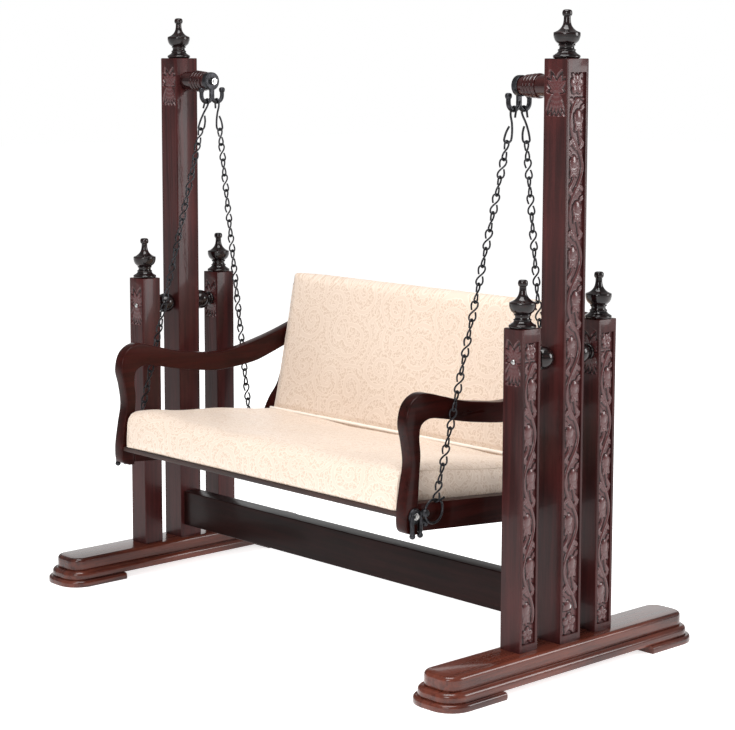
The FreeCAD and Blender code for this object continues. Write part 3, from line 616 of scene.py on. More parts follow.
def stacked(outline, layers, fixed=()):
    """A solid from an outline and (inset, height) layers; fixed steps replace some insets."""
    steps = inward(outline)
    for number, step in dict(fixed).items():
        steps[number] = np.array(step, float)
    count = len(outline)
    vertices, faces = [], []
    for inset, height in layers:
        for point, step in zip(outline, steps):
            vertices.append((*(np.array(point) + step * inset), height))
    for low in range(0, len(vertices) - count, count):
        faces += band(low, low + count, count)
    faces.append(list(reversed(range(count))))
    faces.append(list(range(len(vertices) - count, len(vertices))))
    return vertices, faces


def eased_layers(thickness, ease, steps=3):
    """Layers of a board with both its rims rounded by a quarter circle."""
    layers = []
    for step in range(steps + 1):
        angle = math.pi / 2 * step / steps
        layers.append((ease * (1 - math.sin(angle)), ease * (1 - math.cos(angle))))
    return layers + [(inset, thickness - height) for inset, height in reversed(layers)]


def rounded(corners, radii, steps=4):
    """An outline through corners, each rounded by an arc; one radius may serve for all."""
    outline = []
    count = len(corners)
    for number, radius in enumerate(np.broadcast_to(radii, count)):
        here = np.array(corners[number], float)
        before = np.array(corners[number - 1], float) - here
        after = np.array(corners[(number + 1) % count], float) - here
        first = here + before / np.linalg.norm(before) * radius
        last = here + after / np.linalg.norm(after) * radius
        for step in range(steps + 1):
            t = step / steps
            outline.append(first * (1 - t) ** 2 + here * 2 * t * (1 - t) + last * t**2)
    return outline


def anticlockwise(outline):
    area = sum(
        outline[n - 1][0] * outline[n][1] - outline[n][0] * outline[n - 1][1]
        for n in range(len(outline))
    )
    return list(outline) if area > 0 else list(reversed(outline))


def side_board(outline, low, high, ease):
    """A board whose outline is in Y and Z, from one X to another, with eased rims."""
    vertices, faces = stacked(anticlockwise(outline), eased_layers(high - low, ease))
    return [(low + h, y, z) for y, z, h in vertices], faces


print("board helpers ready")

# %% [markdown]
# ## Feet
# Each foot is three boards with a stepped, rounded edge: a long top board, a wider one
# under it, and a pad at each end that lets the foot stand over an uneven floor.

# %% Rounded foot boards
FOOT_CENTRE = 0.878
TOP_BOARD = (0.065, 0.507)
BOARD_CORNER = 0.045
MIDDLE_STEP, PAD_STEP = 0.018, 0.031
PAD_LENGTH = 0.222
PAD_HEIGHT, MIDDLE_HEIGHT, TOP_HEIGHT = 0.022, 0.028, 0.041
POST_FOOT = PAD_HEIGHT + MIDDLE_HEIGHT + TOP_HEIGHT


def plan(half_width, half_length, radius, cut_end=None, steps=10):
    """A long plan with round corners; with cut_end it is the near end of one, cut square."""
    def corner(x, y, first):
        return [
            (x + radius * math.cos(math.radians(angle)), y + radius * math.sin(math.radians(angle)))
            for angle in np.linspace(first, first + 90, steps + 1)
        ]

    x, y = half_width - radius, half_length - radius
    near = corner(-x, -y, 180) + corner(x, -y, 270)
    if cut_end is None:
        return corner(x, y, 0) + corner(-x, y, 90) + near
    return near + [(half_width, cut_end), (-half_width, cut_end)]


def edge_layers(thickness, foot, shoulder, steps=6):
    """Layers with a small round at the foot and a quarter round at the shoulder."""
    layers = [(foot * 0.7, 0), (foot * 0.2, foot * 0.3), (0, foot), (0, thickness - shoulder)]
    for step in range(1, steps + 1):
        angle = math.pi / 2 * step / steps
        height = thickness - shoulder * (1 - math.sin(angle))
        layers.append((shoulder * (1 - math.cos(angle)), height))
    return layers


def widened(step):
    """The top board's half width, half length and corner radius, each larger by a step."""
    return [size + step for size in (*TOP_BOARD, BOARD_CORNER)]


def foot_piece(name, part, sign, base):
    vertices = [(sign * FOOT_CENTRE + x, y, base + z) for x, y, z in part[0]]
    add_piece(name, vertices, part[1], foot_lacquer, STAND, "dark_wood", [name], 35)


for side, sign in SIDES:
    top = stacked(plan(*widened(0)), edge_layers(TOP_HEIGHT, foot=0.003, shoulder=0.012))
    foot_piece(f"{side}_foot_top", top, sign, PAD_HEIGHT + MIDDLE_HEIGHT)
    layers = edge_layers(MIDDLE_HEIGHT, foot=0.003, shoulder=0.014)
    middle = stacked(plan(*widened(MIDDLE_STEP)), layers)
    foot_piece(f"{side}_foot_middle", middle, sign, PAD_HEIGHT)
    half_width, half_length, corner_radius = widened(PAD_STEP)
    outline = plan(half_width, half_length, corner_radius, cut_end=PAD_LENGTH - half_length)
    last = len(outline) - 1
    layers = edge_layers(PAD_HEIGHT, foot=0.005, shoulder=0.009)
    front = stacked(outline, layers, {last - 1: (-1, 0), last: (1, 0)})
    rear = ([(-x, -y, z) for x, y, z in front[0]], front[1])
    foot_piece(f"{side}_front_pad", front, sign, 0)
    foot_piece(f"{side}_rear_pad", rear, sign, 0)
print("feet: 2 top boards, 2 middle boards, 4 pads")

# %% [markdown]
# ## Carving
# A vine climbs the sunk panel of each post: a stem that sways from edge to edge, with a
# bud in each hollow and leaves where the stem turns. A carving is a height for each
# point of a flat field, so it is worked out as one: each stroke, leaf and bud is a
# formula for height, and where two meet the higher one shows.


# %% Heights of strokes, leaves and buds
class Field:
    """Heights over a panel, in metres: s across from its middle and t up from its foot."""

    def __init__(self, across, along):
        self.s, self.t = across, along
        self.height = np.zeros(across.shape)

    def raise_to(self, height):
        self.height = np.maximum(self.height, height)

    def stroke(self, points, radius, top):
        """A round cord along points."""
        nearest = np.full(self.s.shape, 1e3)
        for (s0, t0), (s1, t1) in zip(points, points[1:]):
            ds, dt = s1 - s0, t1 - t0
            share = ((self.s - s0) * ds + (self.t - t0) * dt) / (ds * ds + dt * dt)
            share = np.clip(share, 0, 1)
            away = np.hypot(self.s - s0 - share * ds, self.t - t0 - share * dt)
            nearest = np.minimum(nearest, away)
        self.raise_to(top * np.sqrt(np.clip(1 - (nearest / radius) ** 2, 0, 1)))

    def turned_to(self, place, angle):
        """Distances ahead and aside of a place, seen along an angle in degrees from up."""
        ds, dt = self.s - place[0], self.t - place[1]
        cos, sin = math.cos(math.radians(angle)), math.sin(math.radians(angle))
        return ds * sin + dt * cos, ds * cos - dt * sin

    def leaf(self, place, angle, length, width, top, curl=0.0):
        """A pointed leaf with a midrib, side veins and a wavy edge."""
        ahead, aside = self.turned_to(place, angle)
        share = np.clip(ahead / length, 0, 1)
        aside = aside - curl * length * share**2
        wave = 1 + 0.05 * np.sin(share * 18)
        half = width / 2 * np.sin(np.pi * share**0.8) ** 0.8 * wave + 1e-6
        across = np.clip(np.abs(aside) / half, 0, 1)
        veins = 0.06 * np.cos(2 * np.pi * (ahead - 0.9 * np.abs(aside)) / (length / 5))
        groove = 0.3 * np.exp(-((aside / (width * 0.06)) ** 2))
        swell = (0.8 - 0.35 * across**2 + veins - groove) * np.clip((1 - across) * 6, 0, 1)
        inside = (ahead > 0) & (ahead < length)
        self.raise_to(np.where(inside, top * swell, 0))

    def bud(self, place, angle, length, width, top):
        """A smooth oval bud."""
        ahead, aside = self.turned_to(place, angle)
        ring = (ahead / (length / 2)) ** 2 + (aside / (width / 2)) ** 2
        self.raise_to(top * np.sqrt(np.clip(1 - ring, 0, 1)))

    def flower(self, place, radius, petals, top):
        """Round petals with a groove between them, about a small dome."""
        away = np.hypot(self.s - place[0], self.t - place[1])
        angle = np.arctan2(self.t - place[1], self.s - place[0])
        lobes = np.abs(np.cos(petals * angle / 2))
        reach = radius * (0.72 + 0.28 * lobes)
        self.raise_to(top * np.clip(1 - (away / reach) ** 4, 0, 1) * (0.55 + 0.3 * lobes))
        dome = np.sqrt(np.clip(1 - (away / (radius * 0.32)) ** 2, 0, 1))
        self.raise_to(top * dome)


RELIEF = 0.0068
PERIOD = 0.254
HEAD_TO_BUD = 0.262
STEM_RADIUS, TAIL_RADIUS = 0.0054, 0.0042
# Points of a tail: share of the width towards the bud's side, and distance up.
HEART = 0.13
TAIL = [(HEART, -0.02), (0.16, -0.036), (0.28, -0.05), (0.44, -0.06)]
# Leaves round a bud: share of the width, distance up, lean in degrees, length, width,
# share of the relief, and curl.
LEAVES = [
    (HEART, 0.002, -156, 0.036, 0.02, 1, 0), (HEART, 0.002, 156, 0.036, 0.02, 1, 0),
    (HEART, 0.002, 180, 0.036, 0.02, 1, 0), (HEART, -0.018, -40, 0.044, 0.018, 0.9, 0.32),
    (HEART, -0.018, 40, 0.044, 0.018, 0.9, -0.32), (0.18, -0.04, 150, 0.04, 0.02, 0.9, 0),
    (-0.2, -0.05, -132, 0.03, 0.018, 0.9, 0), (-0.08, 0.046, 24, 0.044, 0.024, 1, 0.2),
    (-0.16, 0.046, -40, 0.032, 0.018, 0.85, 0), (0.24, 0.03, 50, 0.03, 0.018, 0.8, 0),
]


def vine(across, along, width, length):
    """The climbing vine over a whole panel, worked out for one period and repeated."""
    lift = (length - HEAD_TO_BUD) % PERIOD
    field = Field(across, (along - lift) % PERIOD)
    sway = width * 0.4
    for turn in (-1, 0, 1):
        start = turn * PERIOD
        stem = [
            (sway * math.cos(2 * math.pi * step / 24), start + PERIOD * step / 24)
            for step in range(25)
        ]
        field.stroke(stem, STEM_RADIUS, RELIEF)
        for side, t in ((-1, start), (1, start + PERIOD / 2)):
            aside = side * width
            tail = through([(aside * share, t + up) for share, up in TAIL], 5)
            field.stroke(tail, TAIL_RADIUS, RELIEF * 0.9)
            field.bud((aside * HEART, t + 0.014), side * -6, 0.042, 0.032, RELIEF * 1.05)
            for share, up, lean, long, wide, high, curl in LEAVES:
                place = (aside * share, t + up)
                field.leaf(place, side * lean, long, wide, RELIEF * high, side * curl)
    return field.height


def sloped(height):
    """Heights averaged with their neighbours, so that steep edges have a slope."""
    for axis in (0, 1):
        before, after = np.roll(height, 1, axis), np.roll(height, -1, axis)
        height = 0.5 * height + 0.25 * (before + after)
    return height


def panel_heights(across, along, width, length):
    """The vine, a flower of five petals at each end of it, and the tooled ground."""
    climbing = vine(across, along, width, length)
    flowers = Field(across, along)
    margin = width * 0.98
    for middle, way in ((margin * 0.5, 0), (length - margin * 0.5, 180)):
        for lean in range(0, 360, 72):
            angle = math.radians(lean)
            petal = (math.sin(angle) * width * 0.25, middle + math.cos(angle) * width * 0.25)
            flowers.bud(petal, lean, width * 0.4, width * 0.38, RELIEF * 0.85)
        for lean in (150, 210):
            flowers.leaf((0, middle), way + lean, width * 0.62, width * 0.22, RELIEF * 0.8)
        flowers.bud((0, middle), 0, width * 0.24, width * 0.24, RELIEF * 1.08)
    from_end = np.minimum(along, length - along)
    climbing = climbing * np.clip((from_end - margin) / 0.006, 0, 1)
    height = sloped(np.maximum(climbing, flowers.height))
    tooling = 0.00016 * np.sin(across * 1900) * np.sin(along * 1500 + 3 * np.sin(across * 200))
    return height + np.where(height < 0.0004, tooling, 0)


DITCH_DEPTH = 0.0056


def patch_heights(across, along, width, length):
    """A spray of leaves cut into a flat face: the leaves stay level and a ditch runs round them."""
    middle = length * 0.56
    fans = []
    for grow in (1.0, 1.3):
        field = Field(across, along)
        for angle in (-52, -22, 22, 52):
            field.leaf((0, middle), angle, 0.046 * grow, 0.02 * grow, 1.0)
        for angle in (98, 262):
            field.leaf((0, middle), angle, 0.028 * grow, 0.014 * grow, 1.0)
        for angle in (154, 167, 180, 193, 206):
            field.leaf((0, middle), angle, 0.07 * grow, 0.014 * grow, 1.0)
        field.flower((0, middle), 0.013 * grow, 6, 1.0)
        fans.append(field.height)
    leaves = np.clip(fans[0], 0, 1)
    ditch = np.clip(fans[1] * 3, 0, 1)
    return sloped(-DITCH_DEPTH * ditch * (1 - 0.9 * leaves))


print("carving formulas ready")

# %% [markdown]
# ## Posts
# Each post is a square timber. Its outer face has the sunk panel, and a spray of leaves
# is cut into its front face near the top. The carved fields are part of the post's mesh,
# so the relief is real and catches light from any side.

# %% Building a carved post
CELL = 0.0014
PANEL_DEPTH, PANEL_BORDER = 0.0075, 0.010
PANEL_TOP_MARGIN, PANEL_BOTTOM_MARGIN = 0.038, 0.022
PATCH_BORDER, PATCH_LENGTH, PATCH_TOP_MARGIN = 0.008, 0.13, 0.03
TALL_SIDE, SHORT_SIDE = 0.088, 0.074
TALL_TOP, SHORT_TOP = 1.750, 1.008
POST_EDGE, RIM_EDGE = 0.0022, 0.0008
# A carving fades out this near its border, and below this height its finish is the carved one.
BORDER_FADE, CUT_BELOW = 0.0016, -0.0002


def carved_field(mesh, relief, width, length, heights, to_space, level):
    """Add a grid of carved points, flat parts at a level of relief; give its four borders."""
    columns = max(int(round(width / CELL)), 2)
    rows = max(int(round(length / CELL)), 2)
    across, along = np.meshgrid(
        np.linspace(-width / 2, width / 2, columns + 1), np.linspace(0, length, rows + 1)
    )
    height = heights(across, along, width, length)
    border = np.minimum(np.minimum(width / 2 - np.abs(across), along), length - along)
    height = height * np.clip(border / BORDER_FADE, 0, 1)
    grid = []
    for row in range(rows + 1):
        line = []
        for column in range(columns + 1):
            rise = height[row, column]
            vertex = mesh.verts.new(to_space(across[row, column], along[row, column], rise))
            vertex[relief] = min(max(rise / RELIEF + level, 0), 1)
            line.append(vertex)
        grid.append(line)
    for row in range(rows):
        low, high = grid[row], grid[row + 1]
        for column in range(columns):
            corners = (low[column], low[column + 1], high[column + 1], high[column])
            is_cut = height[row:row + 2, column:column + 2].min() < CUT_BELOW
            mesh.faces.new(corners).material_index = 1 if is_cut or level == 0 else 0
    bottom, top = grid[0], grid[-1]
    return bottom, [line[-1] for line in grid], top, [line[0] for line in grid]


def carved_post(name, sign, centre, place_y, side, top):
    """A post with a sunk vine panel outside and a carved spray in front."""
    mesh = bmesh.new()
    relief = mesh.verts.layers.float.new("relief")
    half = side / 2
    x_out = sign * (centre + half)
    y_front = place_y - half
    corners = {}
    for outer in (0, 1):
        for back in (0, 1):
            for high in (0, 1):
                point = (
                    sign * centre + sign * half * (2 * outer - 1),
                    place_y + half * (2 * back - 1),
                    top if high else POST_FOOT,
                )
                corners[outer, back, high] = mesh.verts.new(point)

    def face(vertices):
        mesh.faces.new(vertices).material_index = 0

    def stitch(outer, borders):
        """Join four corners to the borders of the carved field inside them."""
        for number, border in enumerate(borders):
            run = border if number < 2 else border[::-1]
            face([outer[number], outer[(number + 1) % 4], *reversed(run)])

    face([corners[0, 0, 0], corners[0, 1, 0], corners[0, 1, 1], corners[0, 0, 1]])
    face([corners[0, 1, 0], corners[1, 1, 0], corners[1, 1, 1], corners[0, 1, 1]])
    face([corners[n] for n in ((0, 0, 1), (0, 1, 1), (1, 1, 1), (1, 0, 1))])
    face([corners[n] for n in ((0, 0, 0), (1, 0, 0), (1, 1, 0), (0, 1, 0))])
    width = side - 2 * PANEL_BORDER
    bottom = POST_FOOT + PANEL_BOTTOM_MARGIN
    length = top - PANEL_TOP_MARGIN - bottom
    rim = [
        mesh.verts.new((x_out, place_y + y, z))
        for y, z in (
            (-width / 2, bottom), (width / 2, bottom),
            (width / 2, bottom + length), (-width / 2, bottom + length),
        )
    ]
    frame_corners = [corners[1, 0, 0], corners[1, 1, 0], corners[1, 1, 1], corners[1, 0, 1]]
    for number in range(4):
        after = (number + 1) % 4
        face([frame_corners[number], frame_corners[after], rim[after], rim[number]])
    floor = x_out - sign * PANEL_DEPTH
    borders = carved_field(
        mesh, relief, width, length, panel_heights,
        lambda s, t, h: (floor + sign * h, place_y + s, bottom + t), 0,
    )
    stitch(rim, borders)
    patch_bottom = top - PATCH_TOP_MARGIN - PATCH_LENGTH
    borders = carved_field(
        mesh, relief, side - 2 * PATCH_BORDER, PATCH_LENGTH, patch_heights,
        lambda s, t, h: (sign * centre + s, y_front - h, patch_bottom + t), 1,
    )
    low_x, high_x = (0, 1) if sign > 0 else (1, 0)
    around = ((low_x, 0, 0), (high_x, 0, 0), (high_x, 0, 1), (low_x, 0, 1))
    stitch([corners[n] for n in around], borders)
    box_corners = set(corners.values())
    outer_edges = [
        edge for edge in mesh.edges
        if set(edge.verts) <= box_corners
        and not all(vertex.co.z < POST_FOOT + 1e-6 for vertex in edge.verts)
    ]
    rim_edges = [edge for edge in mesh.edges if set(edge.verts) <= set(rim)]
    bmesh.ops.bevel(
        mesh, geom=outer_edges, offset=POST_EDGE, segments=2, profile=0.5, affect="EDGES"
    )
    bmesh.ops.bevel(
        mesh, geom=[edge for edge in rim_edges if edge.is_valid],
        offset=RIM_EDGE, segments=1, profile=0.5, affect="EDGES",
    )
    bmesh.ops.recalc_face_normals(mesh, faces=mesh.faces)
    data = bpy.data.meshes.new(name)
    mesh.to_mesh(data)
    mesh.free()
    data.materials.append(post_lacquer)
    data.materials.append(carving)
    dress_mesh(name, data, None, STAND, "dark_wood", [name], 32)


# %% Six posts
SHORT_CENTRE = FOOT_CENTRE - (TALL_SIDE - SHORT_SIDE) / 2
SHORT_PLACE = TALL_SIDE / 2 + 0.080 + SHORT_SIDE / 2
for side, sign in SIDES:
    carved_post(f"{side}_tall_post", sign, FOOT_CENTRE, 0, TALL_SIDE, TALL_TOP)
    for end, way in ENDS:
        name = f"{side}_{end}_post"
        carved_post(name, sign, SHORT_CENTRE, way * SHORT_PLACE, SHORT_SIDE, SHORT_TOP)

# %% [markdown]
# ## Turned pieces
# Finials, balls and bosses come off a lathe, so each is a profile spun round its middle.
# A run of points between two crisp edges is smoothed on its own, which keeps the beads sharp.

# %% Finials on the six posts
MM = 0.001


def in_mm(runs):
    return [[(radius * MM, height * MM) for radius, height in run] for run in runs]


FINIAL = in_mm([
    [(0.01, 0), (33, 0)],
    [(33, 0), (37.5, 2), (39, 5.5), (37.5, 9), (34, 11)],
    [(34, 11), (33, 12), (28, 15), (24, 20)],
    [(24, 20), (25.5, 21.5), (25.5, 24), (24, 25.5)],
    [(22, 26), (21, 30), (21.5, 34)],
    [(21.5, 34), (24, 35.5), (24, 38), (23, 39.5)],
    [(25, 40), (33, 48), (37, 58), (38, 66), (38, 69)],
    [(38, 69), (37.4, 71.5), (35, 73)],
    [(35, 73), (26, 77), (18, 84), (13, 92), (10.5, 102), (9.8, 112), (10, 116)],
    [(10, 116), (12.6, 118), (14, 122), (14, 127), (12.4, 132), (8, 134.6), (0.01, 135)],
])
one_finial = turned(FINIAL)
post_tops = []
for sign in (-1, 1):
    post_tops.append((sign * FOOT_CENTRE, 0, TALL_TOP))
    for way in (-1, 1):
        post_tops.append((sign * SHORT_CENTRE, way * SHORT_PLACE, SHORT_TOP))
parts = gather([moved(one_finial, Matrix.Translation(Vector(foot))) for foot in post_tops])
add_piece("finials", *parts, turned_wood, STAND, "turned_wood", ["finials"], 42)
print("finials:", len(post_tops), "of", len(one_finial[1]), "faces")

# %% Balls between the posts
BALL_HEIGHT = 0.915
BALL = in_mm([
    [(0.01, 0), (10, 0)],
    [
        (10, 0), (17, 2.4), (25.5, 9.5), (31.2, 20), (33, 31), (31.2, 42), (25.5, 52.5),
        (18, 59), (15, 61),
    ],
    [(15, 61), (13.5, 64), (15.5, 67)],
    [(15.5, 67), (21, 68.5), (23, 71), (23, 75), (21.5, 77.5)],
    [(21.5, 77.5), (18, 78), (18, 80), (0.01, 80)],
])
one_ball = turned(BALL)
balls = []
for sign in (-1, 1):
    for way in (-1, 1):
        foot = (sign * SHORT_CENTRE, way * TALL_SIDE / 2, BALL_HEIGHT)
        balls.append(moved(one_ball, frame_at(foot, (0, way, 0))))
add_piece("spindles", *gather(balls), turned_wood, STAND, "turned_wood", ["spindles"], 42)
print("balls:", len(balls))

# %% Bosses that hold the pivot bolts
PIVOT_HEIGHT = 1.673
POST_INSIDE = FOOT_CENTRE - TALL_SIDE / 2
BOSS = in_mm([
    [(7, 0), (31, 0)],
    [(31, 0), (31.6, 1), (31.6, 48)],
    [(31.6, 48), (34.5, 49.5), (36, 54), (36, 58), (34.5, 62), (31, 63.5)],
    [(31, 63.5), (33.5, 65), (35, 69), (35, 72), (33.5, 76), (30, 77.5)],
    [(30, 77.5), (32.5, 79), (33.6, 83), (33.6, 85), (32.5, 89), (28.5, 90.5)],
    [(28.5, 90.5), (31.5, 92), (32.4, 96), (32.2, 99), (30.5, 103), (27, 104)],
    [(27, 104), (26.5, 128.6)],
    [(26.5, 128.6), (7, 128.6)],
    [(7, 128.6), (7, 0)],
])
one_boss = bored(BOSS)
bosses = [
    moved(one_boss, frame_at((sign * POST_INSIDE, 0, PIVOT_HEIGHT), (-sign, 0, 0)))
    for sign in (-1, 1)
]
BOSS_DARK, BOSS_WARM = colour(24, 9, 10), colour(58, 22, 20)
boss_finish = lacquer("boss_lacquer", "x", BOSS_DARK, BOSS_WARM, roughness=0.12, coat=0.5)
add_piece("bosses", *gather(bosses), boss_finish, STAND, "turned_wood", ["bosses"], 42)
print("bosses:", len(bosses))

# %% [markdown]
# ## Bolts
# Bolts repeat, so Geometry Nodes place them: each vertex of a small mesh is a place, an
# attribute says which way the bolt faces, and one head is copied onto every vertex.


# %% A node tree for placing copies
class Tree:
    """A Geometry Nodes tree with a geometry, named inputs of given kinds, and a material."""

    def __init__(self, name, sockets):
        self.group = bpy.data.node_groups.new(name, "GeometryNodeTree")
        self.names = {}
        sockets = {"Geometry": "Geometry", **sockets, "Material": "Material"}
        for socket_name, kind in sockets.items():
            self.names[socket_name] = self.add_socket(socket_name, "INPUT", kind)
        self.add_socket("Geometry", "OUTPUT", "Geometry")
        self.start = self.group.nodes.new("NodeGroupInput")
        self.end = self.group.nodes.new("NodeGroupOutput")

    def add_socket(self, name, way, kind):
        new_socket = self.group.interface.new_socket
        return new_socket(name, in_out=way, socket_type=f"NodeSocket{kind}").identifier

    def given(self, name):
        return self.start.outputs[name]

    def node(self, kind, settings=(), inputs=()):
        made = self.group.nodes.new(kind)
        for key, value in dict(settings).items():
            setattr(made, key, value)
        for key, value in dict(inputs).items():
            if isinstance(value, bpy.types.NodeSocket):
                self.group.links.new(value, made.inputs[key])
            else:
                made.inputs[key].default_value = value
        return made

    def maths(self, operation, *values):
        settings = {"operation": operation}
        return self.node("ShaderNodeMath", settings, dict(enumerate(values))).outputs[0]

    def finish(self, instances):
        """End in plain geometry with a material."""
        real = self.node("GeometryNodeRealizeInstances", inputs={0: instances})
        smooth = self.node("GeometryNodeSetShadeSmooth", inputs={0: real.outputs[0]})
        coated = self.node(
            "GeometryNodeSetMaterial",
            inputs={"Geometry": smooth.outputs[0], "Material": self.given("Material")},
        )
        self.group.links.new(coated.outputs[0], self.end.inputs[0])

    def grow(self, seed_mesh, values):
        """Run the tree on a mesh and return what it makes as a plain mesh."""
        holder = bpy.data.objects.new("holder", seed_mesh)
        bpy.context.collection.objects.link(holder)
        modifier = holder.modifiers.new("grow", "NODES")
        modifier.node_group = self.group
        for name, value in values.items():
            modifier[self.names[name]] = value
        depsgraph = bpy.context.evaluated_depsgraph_get()
        made = bpy.data.meshes.new_from_object(holder.evaluated_get(depsgraph))
        holder.modifiers.clear()
        bpy.data.objects.remove(holder)
        return made


bolt_tree = Tree("bolts_on_points", {"Bolt": "Object"})
facing = bolt_tree.node(
    "GeometryNodeInputNamedAttribute", {"data_type": "FLOAT_VECTOR"}, {"Name": "facing"}
)
turn = bolt_tree.node(
    "FunctionNodeAlignRotationToVector", {"axis": "Z"}, {"Vector": facing.outputs[0]}
)
head = bolt_tree.node("GeometryNodeObjectInfo", inputs={"Object": bolt_tree.given("Bolt")})
copies = bolt_tree.node(
    "GeometryNodeInstanceOnPoints",
    inputs={
        "Points": bolt_tree.given("Geometry"),
        "Instance": head.outputs["Geometry"],
        "Rotation": turn.outputs[0],
    },
)
bolt_tree.finish(copies.outputs[0])
print("bolt tree:", len(bolt_tree.group.nodes), "nodes")


# %% Domed heads and hexagon nuts
AXIS = 0.0001


def hexagon_nut(radius, height, hole):
    """A hexagon nut with its corners turned off at the outer end and a bolt end inside."""
    corners = [
        (radius * math.cos(math.pi / 3 * n), radius * math.sin(math.pi / 3 * n)) for n in range(6)
    ]
    nut = stacked(corners, [(0.0, 0), (0, height * 0.82), (radius * 0.14, height)])
    rim, brim = radius * 1.3, 0.0012
    washer = turned([
        [(AXIS, 0), (rim, 0)], [(rim, 0), (rim, brim)], [(rim, brim), (AXIS, brim)],
    ], 32)
    foot, neck, top = height * 0.5, height * 1.25, height * 1.35
    bolt = turned([
        [(AXIS, foot), (hole, foot)], [(hole, foot), (hole, neck)],
        [(hole, neck), (hole * 0.8, top), (AXIS, top)],
    ], 24)
    return gather([nut, washer, bolt])


def domed_head(radius, height):
    dome = [(1, 0.25), (0.82, 0.7), (0.42, 0.95)]
    return turned([
        [(AXIS, 0), (radius, 0)],
        [(radius, 0), (radius, height * 0.25)],
        [*((radius * r, height * h) for r, h in dome), (AXIS, height)],
    ], 28)


def bolts(name, shape, places, body):
    """Copies of one fastener, given as (place, direction) pairs."""
    mesh = bpy.data.meshes.new(f"{name}_points")
    mesh.from_pydata([place for place, _ in places], [], [])
    data = mesh.attributes.new("facing", "FLOAT_VECTOR", "POINT").data
    for number, (_, direction) in enumerate(places):
        data[number].vector = direction
    pattern = bpy.data.meshes.new(f"{name}_pattern")
    pattern.from_pydata([tuple(point) for point in shape[0]], [], shape[1])
    source = bpy.data.objects.new(f"{name}_pattern", pattern)
    bpy.context.collection.objects.link(source)
    grown = bolt_tree.grow(mesh, {"Bolt": source, "Material": zinc})
    bpy.data.objects.remove(source)
    dress_mesh(name, grown, None, body, "zinc", (), 35)
    print(name, len(places))


tie_bolts = []
for sign in (-1, 1):
    for way in (-1, 1):
        # a front head stands in the spray of leaves, so it is let in a little
        face = SHORT_PLACE + SHORT_SIDE / 2 - (0.0004 if way < 0 else 0)
        tie_bolts.append(((sign * SHORT_CENTRE, way * face, BALL_HEIGHT), (0, way, 0)))
bolts("tie_bolts", domed_head(0.0075, 0.004), tie_bolts, STAND)
STRETCHER_BOLT_HEIGHT = 0.194
panel_floor = FOOT_CENTRE + TALL_SIDE / 2 - PANEL_DEPTH
stretcher_bolts = [
    ((sign * panel_floor, 0, STRETCHER_BOLT_HEIGHT), (sign, 0, 0)) for sign in (-1, 1)
]
bolts("stretcher_bolts", domed_head(0.0095, 0.006), stretcher_bolts, STAND)

# %% [markdown]
# ## Pivot
# The bolt and nut that carry each side of the bench stay as the CAD has them in place,
# so only their finish changes: both are bright zinc.

# %% Finish of the pivot bolts and nuts
for name in ("pivot_bolts", "pivot_nuts"):
    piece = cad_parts[name]
    piece.data.materials.clear()
    piece.data.materials.append(zinc)
print("pivot finish set")

# %% [markdown]
# ## Double hooks
# A flat forged shank hangs on each pivot bolt and ends in two upturned arms with knobs.

# %% Forged double hook
HANG_PLANE = 0.700
HOOK_THICKNESS, HOOK_EYE, HOOK_BAR, HOOK_ARM = 0.009, 0.020, 0.007, 0.022
HOOK_DROP, HOOK_RISE = 0.069, 0.016
Y_AXIS, Z_AXIS = Vector((0, 1, 0)), Vector((0, 0, 1))
KNOB = in_mm([
    [(0.01, 0), (6.2, 0)],
    [(6.2, 0), (8.6, 2.5), (10, 7), (10, 11), (8.8, 15.2), (5, 17.6), (0.01, 18)],
])
CUP = in_mm([
    [(9, -4.7), (27, -4.7)],
    [(27, -4.7), (29.6, -3.2), (30.2, -0.5), (30.2, 13), (29.8, 15.5), (28.6, 16.4)],
    [(28.6, 16.4), (27.8, 15.6)],
    [(27.8, 15.6), (27.8, 5)],
    [(27.8, 5), (9, 5)],
    [(9, 5), (9, -4.7)],
])
# Half width and height of the shank below the eye.
SHANK = [(0.0105, -0.02), (0.0082, -0.036), (0.0085, -0.050), (0.0075, -0.0605)]


def double_hook(sign):
    """The hook about its own pivot: shank, two arms with knobs, and a cup round the boss."""
    cheek = 20
    rim = [
        (HOOK_EYE * math.cos(math.radians(a)), HOOK_EYE * math.sin(math.radians(a)))
        for a in np.linspace(-cheek, 180 + cheek, 28)
    ]
    left_side = through([rim[-1], *((-x, y) for x, y in SHANK)], 4)[1:]
    right_side = [(-x, y) for x, y in reversed(left_side)]
    outline = rim + [tuple(p) for p in left_side] + right_side
    vertices, faces = stacked(anticlockwise(outline), eased_layers(HOOK_THICKNESS, 0.0014))
    parts = [([(h - HOOK_THICKNESS / 2, a, b) for a, b, h in vertices], faces)]
    parts.append(moved(bored(CUP), frame_at((0, 0, 0), (sign, 0, 0))))
    for way in (-1, 1):
        centre = Vector((0, way * HOOK_ARM, HOOK_ARM - HOOK_DROP))
        points = sweep_angles(centre, HOOK_ARM, 172, 360, 22, Y_AXIS * way, Z_AXIS)
        halfway, tip = (points[-1] + Z_AXIS * HOOK_RISE * share for share in (0.5, 1))
        parts.append(wire([*points, halfway, tip], HOOK_BAR, 16))
        parts.append(moved(turned(KNOB, 28), Matrix.Translation(tip - Z_AXIS * HOOK_BAR)))
    return gather(parts)


for side, sign in SIDES:
    shift = Matrix.Translation(Vector((sign * HANG_PLANE, 0, PIVOT_HEIGHT)))
    name = f"{side}_double_hook"
    add_piece(name, *moved(double_hook(sign), shift), black_iron, SWING, "black_iron", [name], 40)
print("double hooks: 2")

# %% [markdown]
# ## Chains
# Each chain is a string of S links, one wire bent into two teardrops, and each link is
# turned a quarter from the next. The path of one link is drawn here, and Geometry
# Nodes give it thickness, repeat it along the chain and turn every second link. The
# whole string is twisted a little, and its two end links take half of that twist.

